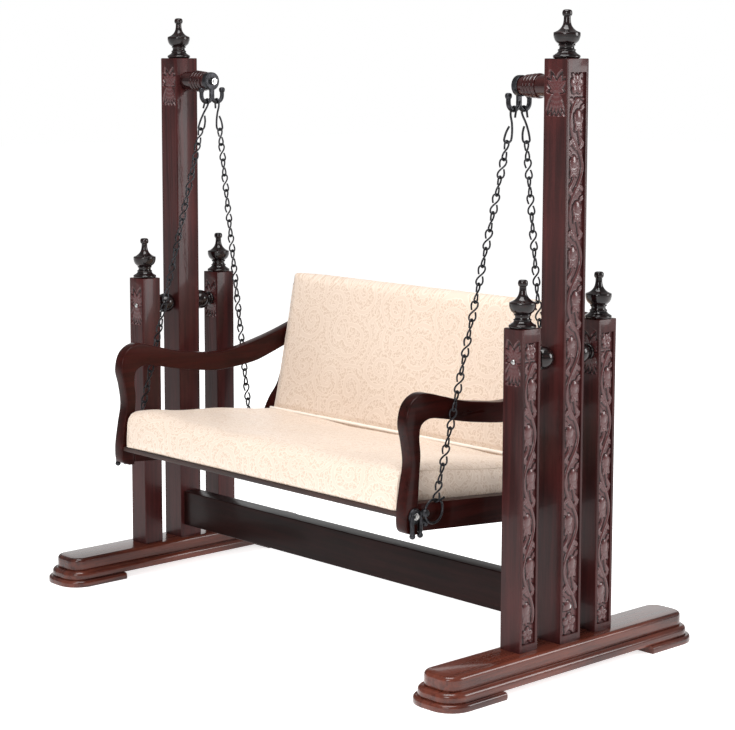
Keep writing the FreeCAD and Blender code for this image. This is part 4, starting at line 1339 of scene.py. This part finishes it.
# %% A node tree for hanging chains
chain_tree = Tree("hanging_chain", {
    "Wire radius": "Float", "Links": "Int", "First link": "Float", "Pitch": "Float",
    "Tilt": "Float", "Twist": "Float", "Hook": "Vector",
})
given, maths = chain_tree.given, chain_tree.maths
link_line = chain_tree.node("GeometryNodeMeshToCurve", inputs={0: given("Geometry")})
section = chain_tree.node(
    "GeometryNodeCurvePrimitiveCircle", inputs={"Resolution": 8, "Radius": given("Wire radius")}
)
one_link = chain_tree.node(
    "GeometryNodeCurveToMesh",
    inputs={"Curve": link_line.outputs[0], "Profile Curve": section.outputs[0], "Fill Caps": True},
)


def vector(axis, amount):
    """A vector along one axis, as long as a number of the chain's tree."""
    return chain_tree.node("ShaderNodeCombineXYZ", inputs={axis: amount}).outputs[0]


places = chain_tree.node(
    "GeometryNodeMeshLine",
    {"mode": "OFFSET"},
    {
        "Count": given("Links"),
        "Start Location": vector("Z", maths("MULTIPLY", given("First link"), -1.0)),
        "Offset": vector("Z", maths("MULTIPLY", given("Pitch"), -1.0)),
    },
)
order = chain_tree.node("GeometryNodeInputIndex").outputs[0]
odd = maths("MODULO", order, 2.0)
quarter = maths("MULTIPLY_ADD", odd, -math.pi / 2, math.pi / 2)
to_go = maths("SUBTRACT", given("Links"), order)
at_an_end = maths("ADD", maths("COMPARE", order, 0.0, 0.5), maths("COMPARE", to_go, 1.0, 0.5))
twist_share = maths("MULTIPLY_ADD", at_an_end, -0.5, 1.0)
turned_by = maths("MULTIPLY_ADD", twist_share, given("Twist"), quarter)
string = chain_tree.node(
    "GeometryNodeInstanceOnPoints",
    inputs={
        "Points": places.outputs[0],
        "Instance": one_link.outputs[0],
        "Rotation": vector("Z", turned_by),
    },
)
hung = chain_tree.node(
    "GeometryNodeTransform",
    inputs={
        "Geometry": string.outputs[0],
        "Translation": given("Hook"),
        "Rotation": vector("X", given("Tilt")),
    },
)
chain_tree.finish(hung.outputs[0])
print("chain tree:", len(chain_tree.group.nodes), "nodes")

# %% Hang the four chains
LINK_WIRE, LINK_GAP, LINK_PITCH, LINK_HALF_WIDTH = 0.0028, 0.0002, 0.0535, 0.010
LINK_TWIST = math.radians(20)
TOP_HOOK_LENGTH, TOP_HOOK_WIRE, TOP_HOOK_LOOP = 0.096, 0.0032, 0.0105
RING_RADIUS, RING_WIRE, RING_TAIL = 0.034, 0.0035, 0.022
RINGS = {"front": (-0.334, 0.4869), "rear": (0.165, 0.4410)}
TROUGH_HEIGHT = PIVOT_HEIGHT - HOOK_DROP


def link_path(half_length, radius):
    """The line of one S link along Z: a teardrop loop at each end and a crossing between."""
    reach = half_length - radius
    lobe = [
        (-0.62, 0.08), (-0.9, 0.34), (-1.04, 0.64), (-0.78, 0.9), (0, 1.0), (0.78, 0.9),
        (1.02, 0.64), (0.8, 0.36), (0.36, 0.14), (0, 0),
    ]
    upper = [(LINK_HALF_WIDTH * x, reach * z) for x, z in lobe]
    lower = [(-x, -z) for x, z in reversed(upper[:-1])]
    return [(x, 0, z) for x, z in through(upper + lower, 2)]


def chain_ends(sign, end, way):
    """The middles of the double hook's arm and of the ring that a chain hangs between."""
    trough = Vector((sign * HANG_PLANE, way * HOOK_ARM, TROUGH_HEIGHT))
    return trough, Vector((sign * HANG_PLANE, *RINGS[end]))


for side, sign in SIDES:
    for end, way in ENDS:
        trough, ring = chain_ends(sign, end, way)
        run = (ring - trough).length
        first = TOP_HOOK_LENGTH - TOP_HOOK_WIRE - LINK_WIRE - LINK_GAP
        last = run - RING_RADIUS + RING_WIRE + LINK_WIRE + LINK_GAP
        overlap = 2 * LINK_WIRE + LINK_GAP
        count = 2 * round((last - first - overlap) / (2 * LINK_PITCH))
        pitch = (last - first - overlap) / count
        points = link_path((pitch + overlap) / 2 + LINK_WIRE, LINK_WIRE)
        line = bpy.data.meshes.new("link_line")
        line.from_pydata(points, [(n, n + 1) for n in range(len(points) - 1)], [])
        grown = chain_tree.grow(line, {
            "Wire radius": LINK_WIRE,
            "Links": count,
            "First link": first + (pitch + overlap) / 2,
            "Pitch": pitch,
            "Tilt": math.atan2(ring.y - trough.y, trough.z - ring.z),
            "Twist": LINK_TWIST,
            "Hook": tuple(trough),
            "Material": black_iron,
        })
        name = f"{side}_{end}_chain"
        dress_mesh(name, grown, None, SWING, "black_iron", [name], 60)
        print(name, count, "links")

# %% [markdown]
# ## Top hooks, rings and corner fittings
# A long S hook drops from each arm of the double hook, and an open ring ends each chain.
# The ring passes through the ear of an iron fitting that is bolted to the bench.


# %% Long S hooks and open rings
def top_hook(trough, down):
    """An open loop over the hook's bar, and a long teardrop that is turned a little."""
    across = Vector((1, 0, 0)) * (1 if trough.x > 0 else -1)
    turned_across = Matrix.Rotation(math.radians(28), 3, "Z") @ across
    over = HOOK_BAR + TOP_HOOK_WIRE + LINK_GAP
    lower = trough + down * (TOP_HOOK_LENGTH - TOP_HOOK_LOOP)
    points = [trough + across * over * 1.1 + down * 0.022, trough + across * over + down * 0.010]
    points += sweep_angles(trough, over, 0, 180, 9, across, -down)
    points += [trough - across * over * 0.7 + down * 0.016]
    points += [trough + turned_across * 0.002 + down * 0.036]
    points += [lower + turned_across * TOP_HOOK_LOOP * 0.8 - down * 0.022]
    points += sweep_angles(lower, TOP_HOOK_LOOP, 0, 180, 9, turned_across, down)
    points += [lower - turned_across * TOP_HOOK_LOOP * 0.85 - down * 0.02]
    points += [lower - turned_across * TOP_HOOK_LOOP * 0.3 - down * 0.038]
    return wire(through(points, 3), TOP_HOOK_WIRE, 12)


def open_ring(centre, way):
    """A ring whose tail stands away towards the middle of the bench and whose end passes it."""
    away = -Y_AXIS * way
    outward = Vector((math.copysign(1, centre.x), 0, 0))
    points = []
    for angle in np.linspace(52, 408, 54):
        around = away * math.cos(math.radians(angle)) + Z_AXIS * math.sin(math.radians(angle))
        aside = max((angle - 345) / 63, 0) ** 2 * 2.3 * RING_WIRE
        points.append(centre + around * RING_RADIUS + outward * aside)
    tail = (away + Z_AXIS * 0.33).normalized() * RING_TAIL
    return wire([points[0] + tail, points[0] + tail * 0.5, *points], RING_WIRE, 12)


for side, sign in SIDES:
    hooks, rings = [], []
    for end, way in ENDS:
        trough, ring = chain_ends(sign, end, way)
        hooks.append(top_hook(trough, (ring - trough).normalized()))
        rings.append(open_ring(ring, way))
    for name, parts in ((f"{side}_top_hooks", hooks), (f"{side}_rings", rings)):
        add_piece(name, *gather(parts), black_iron, SWING, "black_iron", [name], 60)
print("top hooks and rings: 8")

# %% Corner fittings
ARM_FACE = 0.685
FITTING_REACH, FITTING_DROP, FITTING_THICKNESS = 0.062, 0.008, 0.009
PRONG_WIRE, STUB_WIRE, WEB_THICKNESS = 0.0064, 0.0062, 0.0165
PRONG_BALL = in_mm([
    [(0.01, 0), (3.4, 0.4), (7.2, 3.2), (8.8, 8), (7.2, 12.8), (3.4, 15.6), (0.01, 16)],
])
DISC = in_mm([
    [(0.01, 0), (23, 0)],
    [(23, 0), (23, 4)],
    [(23, 4), (21, 7.4), (15, 9)],
    [(15, 9), (14, 8.2), (13, 9)],
    [(13, 9), (0.01, 9)],
])
EAR = in_mm([
    [(4.4, -10), (8, -10)],
    [(8, -10), (11.5, -6), (12.5, 0), (11.5, 6), (8, 10)],
    [(8, 10), (4.4, 10)],
    [(4.4, 10), (4.4, -10)],
])


def corner_fitting(sign, end, way):
    """A cast disc with a web to the ear round the ring, two prongs and a stub with balls."""
    outward = Vector((sign, 0, 0))
    ring = chain_ends(sign, end, way)[1]
    centre = ring + Vector((0, way * FITTING_REACH, -FITTING_DROP))
    centre.x = sign * ARM_FACE
    parts = [moved(turned(DISC, 40), frame_at(centre, outward))]
    hole = ring + Vector((0, way * RING_RADIUS, 0))
    parts.append(moved(bored(EAR, 32), Matrix.Translation(hole)))
    low_y, high_y = sorted((centre.y - way * 0.012, hole.y + way * 0.0052))
    low_z, high_z = hole.z - 0.005, hole.z + 0.005
    corners = [(low_y, low_z), (high_y, low_z), (high_y, high_z), (low_y, high_z)]
    web = stacked(rounded(corners, 0.0015, 3), eased_layers(WEB_THICKNESS, 0.0015))
    parts.append(([(sign * (ARM_FACE + h), y, z) for y, z, h in web[0]], web[1]))
    for offset in (-1, 1):
        top = centre + outward * FITTING_THICKNESS
        top.y += offset * 0.015
        bow = [
            top + Vector((0, -offset * 0.004, 0.004)), top,
            top + Vector((0, offset * 0.002, -0.012)), top + Vector((0, offset * 0.0015, -0.032)),
            top + Vector((0, 0, -0.050)),
        ]
        parts.append(wire(through(bow, 4), PRONG_WIRE, 14))
        ball_top = top - Z_AXIS * 0.046
        parts.append(moved(turned(PRONG_BALL, 24), frame_at(ball_top, (0, 0, -1))))
    stub = centre + outward * 0.004
    bow = [stub, stub + Vector((0, -way * 0.018, -0.012)), stub + Vector((0, -way * 0.034, -0.020))]
    parts.append(wire(through(bow, 4), STUB_WIRE, 14))
    parts.append(moved(turned(PRONG_BALL, 24), frame_at(bow[-1], (0, -way * 0.8, -0.6))))
    return gather(parts)


fittings = gather([corner_fitting(sign, end, way) for _, sign in SIDES for end, way in ENDS])
corner_iron = add_piece(
    "corner_fittings", *fittings, black_iron, SWING, "black_iron", ["corner_fittings"], 45
)
turned_out = bmesh.new()
turned_out.from_mesh(corner_iron.data)
bmesh.ops.recalc_face_normals(turned_out, faces=turned_out.faces)
turned_out.to_mesh(corner_iron.data)
turned_out.free()
corner_nuts = []
for sign in (-1, 1):
    for end, way in ENDS:
        y, z = RINGS[end]
        place = (sign * (ARM_FACE + FITTING_THICKNESS), y + way * FITTING_REACH, z - FITTING_DROP)
        corner_nuts.append((place, (sign, 0, 0)))
bolts("corner_nuts", hexagon_nut(0.0078, 0.0065, 0.0032), corner_nuts, SWING)
print("corner fittings:", len(corner_nuts))

# %% [markdown]
# ## Bench timber
# Each side of the bench is an arm sawn with its front upright from one board, a side
# rail that slopes down to the back, and a back post. The places are worked out along the
# sloping seat and the leaning back, as the CAD does it.

# %% Places along the seat and the back
SEAT_ANGLE, BACK_ANGLE = math.radians(4.5), math.radians(12.2)
SEAT_FRONT, SEAT_HEIGHT, SEAT_DEPTH = -0.424, 0.489, 0.605
SEAT_THICKNESS, SEAT_BACK_THICKNESS = 0.120, 0.102
BACK_FRONT, BACK_RISE, BACK_FOOT = 0.204, 0.485, 0.090
BACK_THICKNESS, PANEL_THICKNESS, RAIL_THICKNESS = 0.066, 0.012, 0.022
POST_SET_BACK, POST_WIDTH, POST_TOP = 0.048, 0.058, 0.470
ARM_THICKNESS = 0.040
INSIDE = ARM_FACE - ARM_THICKNESS


def seat_line(y):
    return SEAT_HEIGHT - math.tan(SEAT_ANGLE) * (y - SEAT_FRONT)


SEAM_HEIGHT = seat_line(BACK_FRONT) + SEAT_BACK_THICKNESS / math.cos(SEAT_ANGLE)


def back_point(rise, depth):
    """Y and Z of a point up the leaning back from the seam and behind its front face."""
    return (
        BACK_FRONT + rise * math.sin(BACK_ANGLE) + depth * math.cos(BACK_ANGLE),
        SEAM_HEIGHT + rise * math.cos(BACK_ANGLE) - depth * math.sin(BACK_ANGLE),
    )


def seat_point(depth, rise):
    """Y and Z of a point back along the seat board and above its top face."""
    return (
        SEAT_FRONT + depth * math.cos(SEAT_ANGLE) + rise * math.sin(SEAT_ANGLE),
        SEAT_HEIGHT - depth * math.sin(SEAT_ANGLE) + rise * math.cos(SEAT_ANGLE),
    )


print(f"seam at {SEAM_HEIGHT:.3f} m")

# %% Arms
ARM_FRONT, ARM_DROP, ARM_HEIGHT = -0.431, 0.065, 0.398
RAIL_FRONT, RAIL_BACK, RAIL_WIDTH, RAIL_DROP = -0.378, 0.175, 0.080, 0.0126
ARM_JOINT, ARM_JOINT_WIDTH = 0.242, 0.068
ARM_OUTSIDE = [
    (0.008, 0.035), (0, 0.145), (0.015, 0.342), (0.031, 0.51), (0.02, 0.668), (0.005, 0.799),
    (0.028, 0.935), (0.09, 1), (0.2, 0.96), (0.309, 0.905), (0.423, 0.872), (0.537, 0.849),
    (0.647, 0.862), (0.782, 0.915), (0.892, 0.968),
]
ARM_INSIDE = [
    (0.86, 0.786), (0.768, 0.734), (0.637, 0.704), (0.537, 0.696), (0.416, 0.722), (0.309, 0.754),
    (0.202, 0.796), (0.128, 0.812), (0.087, 0.775), (0.077, 0.693), (0.083, 0.568), (0.078, 0.437),
]


def arm_outline():
    bottom = SEAT_HEIGHT - ARM_DROP
    joint_top = back_point(ARM_JOINT + ARM_JOINT_WIDTH, POST_SET_BACK)
    joint_low = back_point(ARM_JOINT, POST_SET_BACK)
    reach = joint_top[0] - ARM_FRONT

    def along(shares):
        return [(ARM_FRONT + reach * y, bottom + ARM_HEIGHT * z) for y, z in shares]

    toe, heel = along([(0.045, 0), (0, 0.23)])
    outside = through([toe] + along(ARM_OUTSIDE) + [joint_top])
    inside = through([joint_low] + along(ARM_INSIDE) + [(RAIL_FRONT, heel[1])])
    return outside + inside + [(RAIL_FRONT, bottom)]


def bench_side(name, sign, outline, ease):
    """A board of the bench's left or right side, between the inside and the arm's face."""
    board = side_board(outline, *sorted((sign * ARM_FACE, sign * INSIDE)), ease)
    add_piece(name, *board, arm_lacquer, SWING, "dark_wood", [name], 50)


for side, sign in SIDES:
    bench_side(f"{side}_arm", sign, arm_outline(), 0.0045)
print("arms: 2")


# %% Side rails and back posts
def rail_height(y, share):
    return seat_line(y) - RAIL_DROP + share * RAIL_WIDTH / 2


def back_post_outline():
    foot_low, foot_high = rail_height(RAIL_BACK, -1), rail_height(RAIL_BACK, 1)
    low = back_point(ARM_JOINT * 0.14, POST_SET_BACK * 0.36)
    straight = back_point(ARM_JOINT * 0.42, POST_SET_BACK)
    rounding = POST_WIDTH / 2
    shoulder, middle = POST_TOP - rounding, POST_SET_BACK + rounding
    front = through([(RAIL_BACK, foot_high), low, straight, back_point(shoulder, POST_SET_BACK)])
    top = [
        back_point(shoulder + rounding * math.sin(a), middle - rounding * math.cos(a))
        for a in np.linspace(0.15, math.pi - 0.15, 14)
    ]
    rear = through([
        back_point(shoulder, POST_SET_BACK + POST_WIDTH),
        back_point(ARM_JOINT * 0.42, POST_SET_BACK + POST_WIDTH),
        back_point(0, POST_SET_BACK + POST_WIDTH * 0.62),
        (RAIL_BACK + 0.074, foot_low),
    ])
    return [(RAIL_BACK, foot_low)] + front + top + rear


rail_outline = [
    (y, rail_height(y, share))
    for y, share in ((RAIL_FRONT, -1), (RAIL_BACK, -1), (RAIL_BACK, 1), (RAIL_FRONT, 1))
]
for side, sign in SIDES:
    bench_side(f"{side}_side_rail", sign, rail_outline, 0.002)
    bench_side(f"{side}_back_post", sign, back_post_outline(), 0.0035)
print("rails and back posts: 4")


# %% Boards across the bench and between the posts
def cross_board(name, point, runs, low, high, finish=rail_lacquer, slot="dark_wood",
                ease=0.002, half=INSIDE, body=SWING):
    """Boards along X: each run is a section's extent along a frame, low and high across it."""
    parts = []
    for start, stop in runs:
        corners = [point(start, low), point(stop, low), point(stop, high), point(start, high)]
        parts.append(side_board(rounded(anticlockwise(corners), ease, 3), -half, half, ease * 0.7))
    add_piece(name, *gather(parts), finish, body, slot, [name], 50)


def level(y, z):
    return (y, z)


BOARD_DEPTH, BOARD_THICKNESS = 0.690, 0.014
BATTEN_HALF, BATTEN_THICKNESS = 0.03, 0.026
RAIL_HEIGHT = 0.062
STRETCHER_HALF, STRETCHER_LOW, STRETCHER_HIGH = 0.030, 0.134, 0.253
cross_board("seat_board", seat_point, [(0, BOARD_DEPTH)], -BOARD_THICKNESS, 0,
            plywood, "plywood", ease=0.0015)
batten_middles = [BOARD_DEPTH * share for share in (0.19, 0.48, 0.79)]
battens = [(middle - BATTEN_HALF, middle + BATTEN_HALF) for middle in batten_middles]
cross_board("seat_battens", seat_point, battens,
            -BOARD_THICKNESS - BATTEN_THICKNESS, -BOARD_THICKNESS)
panel_back = BACK_THICKNESS + PANEL_THICKNESS
cross_board("back_panel", back_point, [(-BACK_FOOT, POST_TOP)], BACK_THICKNESS, panel_back,
            plywood, "plywood", ease=0.0015)
shoulder = POST_TOP - POST_WIDTH / 2
for name, foot in (
    ("back_lower_rail", -BACK_FOOT), ("back_top_rail", shoulder - RAIL_HEIGHT),
):
    cross_board(name, back_point, [(foot, foot + RAIL_HEIGHT)],
                panel_back, panel_back + RAIL_THICKNESS)
cross_board("stretcher", level, [(-STRETCHER_HALF, STRETCHER_HALF)],
            STRETCHER_LOW, STRETCHER_HIGH, ease=0.003, half=POST_INSIDE, body=STAND)
print("cross boards: 6")

# %% [markdown]
# ## Cushions
# A cushion is a cloth skin blown up by its filling. Each starts as a slightly small
# block with rounded edges, is remeshed evenly, and is then inflated by Blender's
# cloth with pressure and no gravity. How far a point may move is capped, and points that
# would press into the boards are laid flat on them. Both are made in the frame of the
# seat or back, level, and turned into place afterwards.


# %% Inflate a block into a cushion
def block_mesh(name, outline, half, ease):
    vertices, faces = stacked(anticlockwise(outline), eased_layers(2 * half, ease, 5))
    mesh = bpy.data.meshes.new(name)
    mesh.from_pydata([(h - half, a, b) for a, b, h in vertices], [], faces)
    return mesh


def remeshed(mesh, voxel):
    """An even quad mesh over the same block."""
    holder = bpy.data.objects.new("block", mesh)
    bpy.context.collection.objects.link(holder)
    modifier = holder.modifiers.new("even", "REMESH")
    modifier.mode = "VOXEL"
    modifier.voxel_size = voxel
    depsgraph = bpy.context.evaluated_depsgraph_get()
    made = bpy.data.meshes.new_from_object(holder.evaluated_get(depsgraph))
    bpy.data.objects.remove(holder)
    return made


def points_of(mesh):
    points = np.zeros(len(mesh.vertices) * 3)
    mesh.vertices.foreach_get("co", points)
    return points.reshape(-1, 3)


def inflated(mesh, cap, frames=12):
    """Blow the mesh up with cloth pressure and move no point farther than the cap."""
    start = points_of(mesh)
    holder = bpy.data.objects.new("filling", mesh)
    bpy.context.collection.objects.link(holder)
    cloth = holder.modifiers.new("pressure", "CLOTH")
    cloth.settings.quality = 5
    cloth.settings.mass = 0.6
    cloth.settings.bending_stiffness = 0.5
    cloth.settings.use_pressure = True
    cloth.settings.uniform_pressure_force = 2
    cloth.settings.effector_weights.gravity = 0
    cloth.point_cache.frame_start = 1
    cloth.point_cache.frame_end = frames
    for number in range(1, frames + 1):
        scene.frame_set(number)
    result = holder.evaluated_get(bpy.context.evaluated_depsgraph_get()).to_mesh()
    moved_points = points_of(result)
    holder.modifiers.clear()
    bpy.data.objects.remove(holder)
    scene.frame_set(1)
    step = moved_points - start
    length = np.linalg.norm(step, axis=1, keepdims=True)
    return start + step * np.minimum(1, cap / np.maximum(length, 1e-9))


def pattern_map(mesh, front_faces):
    """Lay the brocade's map on the cloth in metres, side panels apart from the long strip."""
    layer = mesh.uv_layers.new(name="cloth")
    for face in mesh.polygons:
        on_end = abs(face.normal.x) > 0.75
        for loop in face.loop_indices:
            x, a, b = mesh.vertices[mesh.loops[loop].vertex_index].co
            along_strip = (x, a + b if front_faces else b - a)
            layer.data[loop].uv = (a + 3.1, b + 1.7) if on_end else along_strip


print("cushion helpers ready")

# %% Seat cushion
VOXEL = 0.006
CUSHION_HALF = INSIDE - 0.003
# The cloth may press this far out of the block, and a skin keeps this far off a board.
FILLING, SKIN_GAP = 0.008, 0.0006


def filled(name, outline, ease):
    """A cushion's even mesh and its points, pressed out by the cloth."""
    mesh = remeshed(block_mesh(name, outline, CUSHION_HALF - 0.003, ease), VOXEL)
    return mesh, inflated(mesh, FILLING)


def kept_between_arms(across):
    return np.clip(across, -CUSHION_HALF - 0.002, CUSHION_HALF + 0.002)


# The seat cushion may hang this far down over the board's front edge.
FRONT_LAP = 0.011
# A seat cushion swells a little near its ends: how much, how far in, and how widely.
END_SWELL, END_SWELL_PLACE, END_SWELL_WIDTH = 0.006, 0.075, 0.06


def seat_block():
    """The section of the seat cushion, along the seat and above it, a little small."""
    front, back = 0.001, SEAT_DEPTH - 0.004
    top, back_top = SEAT_THICKNESS - 0.004, SEAT_BACK_THICKNESS - 0.003
    lean = math.tan(BACK_ANGLE - SEAT_ANGLE)
    corners = [(front, -0.007), (back, 0.003), (back + back_top * lean, back_top), (front, top)]
    return rounded(corners, (0.006, 0.006, 0.010, 0.042), 6)


def softened(points, size, depth, seed):
    """Slow dips and swells of a filled cushion, the same on every run."""
    shift = np.random.default_rng(seed).uniform(0, 6.28, 6)
    x, y = points[:, 0] / size, points[:, 1] / size
    waves = np.sin(x * 1.3 + shift[0] + 0.7 * np.sin(y * 1.9 + shift[1]))
    waves += 0.6 * np.sin(y * 2.7 + x * 0.9 + shift[2]) + 0.4 * np.sin(x * 3.4 - y * 1.2 + shift[3])
    return waves * depth / 2


def make_seat_cushion():
    mesh, points = filled("seat_block", seat_block(), 0.014)
    top_share = np.clip((points[:, 2] - 0.07) / 0.03, 0, 1)
    points[:, 2] += softened(points, size=0.12, depth=0.005, seed=3) * top_share
    from_swell = CUSHION_HALF - END_SWELL_PLACE - np.abs(points[:, 0])
    points[:, 2] += END_SWELL * np.exp(-((from_swell / END_SWELL_WIDTH) ** 2)) * top_share
    points[:, 0] = kept_between_arms(points[:, 0])
    floor_below = np.where(points[:, 1] < -0.001, -FRONT_LAP, SKIN_GAP)
    points[:, 2] = np.maximum(points[:, 2], floor_below)
    lean = math.tan(BACK_ANGLE - SEAT_ANGLE)
    points[:, 1] = np.minimum(points[:, 1], SEAT_DEPTH - SKIN_GAP + points[:, 2] * lean)
    return mesh, points


def place_cushion(name, mesh, points, point_at, strip):
    mesh.vertices.foreach_set("co", points.ravel())
    mesh.update()
    pattern_map(mesh, strip)
    for vertex in mesh.vertices:
        x, a, b = vertex.co
        y, z = point_at(a, b)
        vertex.co = (x, y, z)
    piece = dress_mesh(name, mesh, brocade, SWING, "brocade", [name], 80)
    print(name, len(mesh.polygons), "faces")
    return piece


seat_mesh, seat_points = make_seat_cushion()
seat_cushion = place_cushion("seat_cushion", seat_mesh, seat_points, seat_point, True)


# %% Back cushion
def make_back_cushion():
    top, foot, thickness = BACK_RISE - 0.003, -BACK_FOOT + 0.002, BACK_THICKNESS
    corners = [(foot, 0.003), (top, 0.003), (top, thickness - 0.003), (foot, thickness - 0.003)]
    outline = rounded([(depth, rise) for rise, depth in reversed(corners)], 0.013, 6)
    mesh, points = filled("back_block", outline, 0.012)
    rise_share = np.clip((points[:, 2] + 0.01) / 0.05, 0, 1)
    front_share = np.clip((0.03 - points[:, 1]) / 0.03, 0, 1) * rise_share
    facing_up = points[:, [0, 2, 1]]
    points[:, 1] += softened(facing_up, size=0.16, depth=0.003, seed=5) * front_share
    points[:, 0] = kept_between_arms(points[:, 0])
    points[:, 1] = np.minimum(points[:, 1], thickness - SKIN_GAP)
    below = points[:, 2] < 0.02
    points[below, 1] = np.maximum(points[below, 1], SKIN_GAP)
    points[:, 2] = np.maximum(points[:, 2], -BACK_FOOT)
    return mesh, points


def back_place(depth, rise):
    return back_point(rise, depth)


back_mesh, back_points = make_back_cushion()
back_cushion = place_cushion("back_cushion", back_mesh, back_points, back_place, False)

# %% [markdown]
# ## Seams
# A corded seam closes the gap where the seat meets the back, and a fine seam runs round
# each end of a cushion. The cord is lighter than the brocade, a painted highlight along
# the crease. A seam lies on the cloth, so its line is found by casting rays from inside
# the cushion to its skin.

# %% Seam along the crease and round the ends

def seam_round(piece, x, middle, count=120):
    """Points on the cushion's skin round its section at one X."""
    tree = BVHTree.FromPolygons(
        [vertex.co for vertex in piece.data.vertices],
        [face.vertices for face in piece.data.polygons],
    )
    points = []
    for number in range(count):
        angle = 2 * math.pi * number / count
        direction = Vector((0, math.cos(angle), math.sin(angle)))
        hit = tree.ray_cast(Vector((x, *middle)), direction)[0]
        if hit is not None:
            points.append(hit)
    return points + points[:2]


SEAM_WIRE, CORD_WIRE = 0.0016, 0.0055
SEAM_X = CUSHION_HALF - 0.008
CORD_END = CUSHION_HALF - 0.004
for name, piece, middle in (
    ("seat_seams", seat_cushion, seat_point(0.3, 0.055)),
    ("back_seams", back_cushion, back_point(0.2, 0.033)),
):
    loops = [wire(seam_round(piece, x, middle), SEAM_WIRE, 8) for x in (-SEAM_X, SEAM_X)]
    add_piece(name, *gather(loops), brocade, SWING, "brocade", (), 80)
crease_y, crease_z = back_point(0.004, -0.004)
crease = [(x, crease_y, crease_z) for x in np.linspace(-CORD_END, CORD_END, 60)]
add_piece("crease_cord", *wire(crease, CORD_WIRE, 12), cord_painted_highlight, SWING, "brocade", (), 80)
print("seams: 5")

# %% [markdown]
# ## Floor
# The floor is plain and pale, wide enough that its edge is never seen.

# %% Pale floor
floor_finish = Finish("pale_floor")
floor_material = floor_finish.surface(
    Base_Color=(0.88, 0.88, 0.88, 1), Roughness=0.9, Emission_Color=WHITE, Emission_Strength=0.75
)
floor_mesh = bpy.data.meshes.new("floor")
REACH = 30
floor_corners = [(-REACH, -REACH, 0), (REACH, -REACH, 0), (REACH, REACH, 0), (-REACH, REACH, 0)]
floor_mesh.from_pydata(floor_corners, [], [[0, 1, 2, 3]])
floor_mesh.materials.append(floor_material)
floor = bpy.data.objects.new("floor", floor_mesh)
bpy.context.collection.objects.link(floor)
print("floor laid")
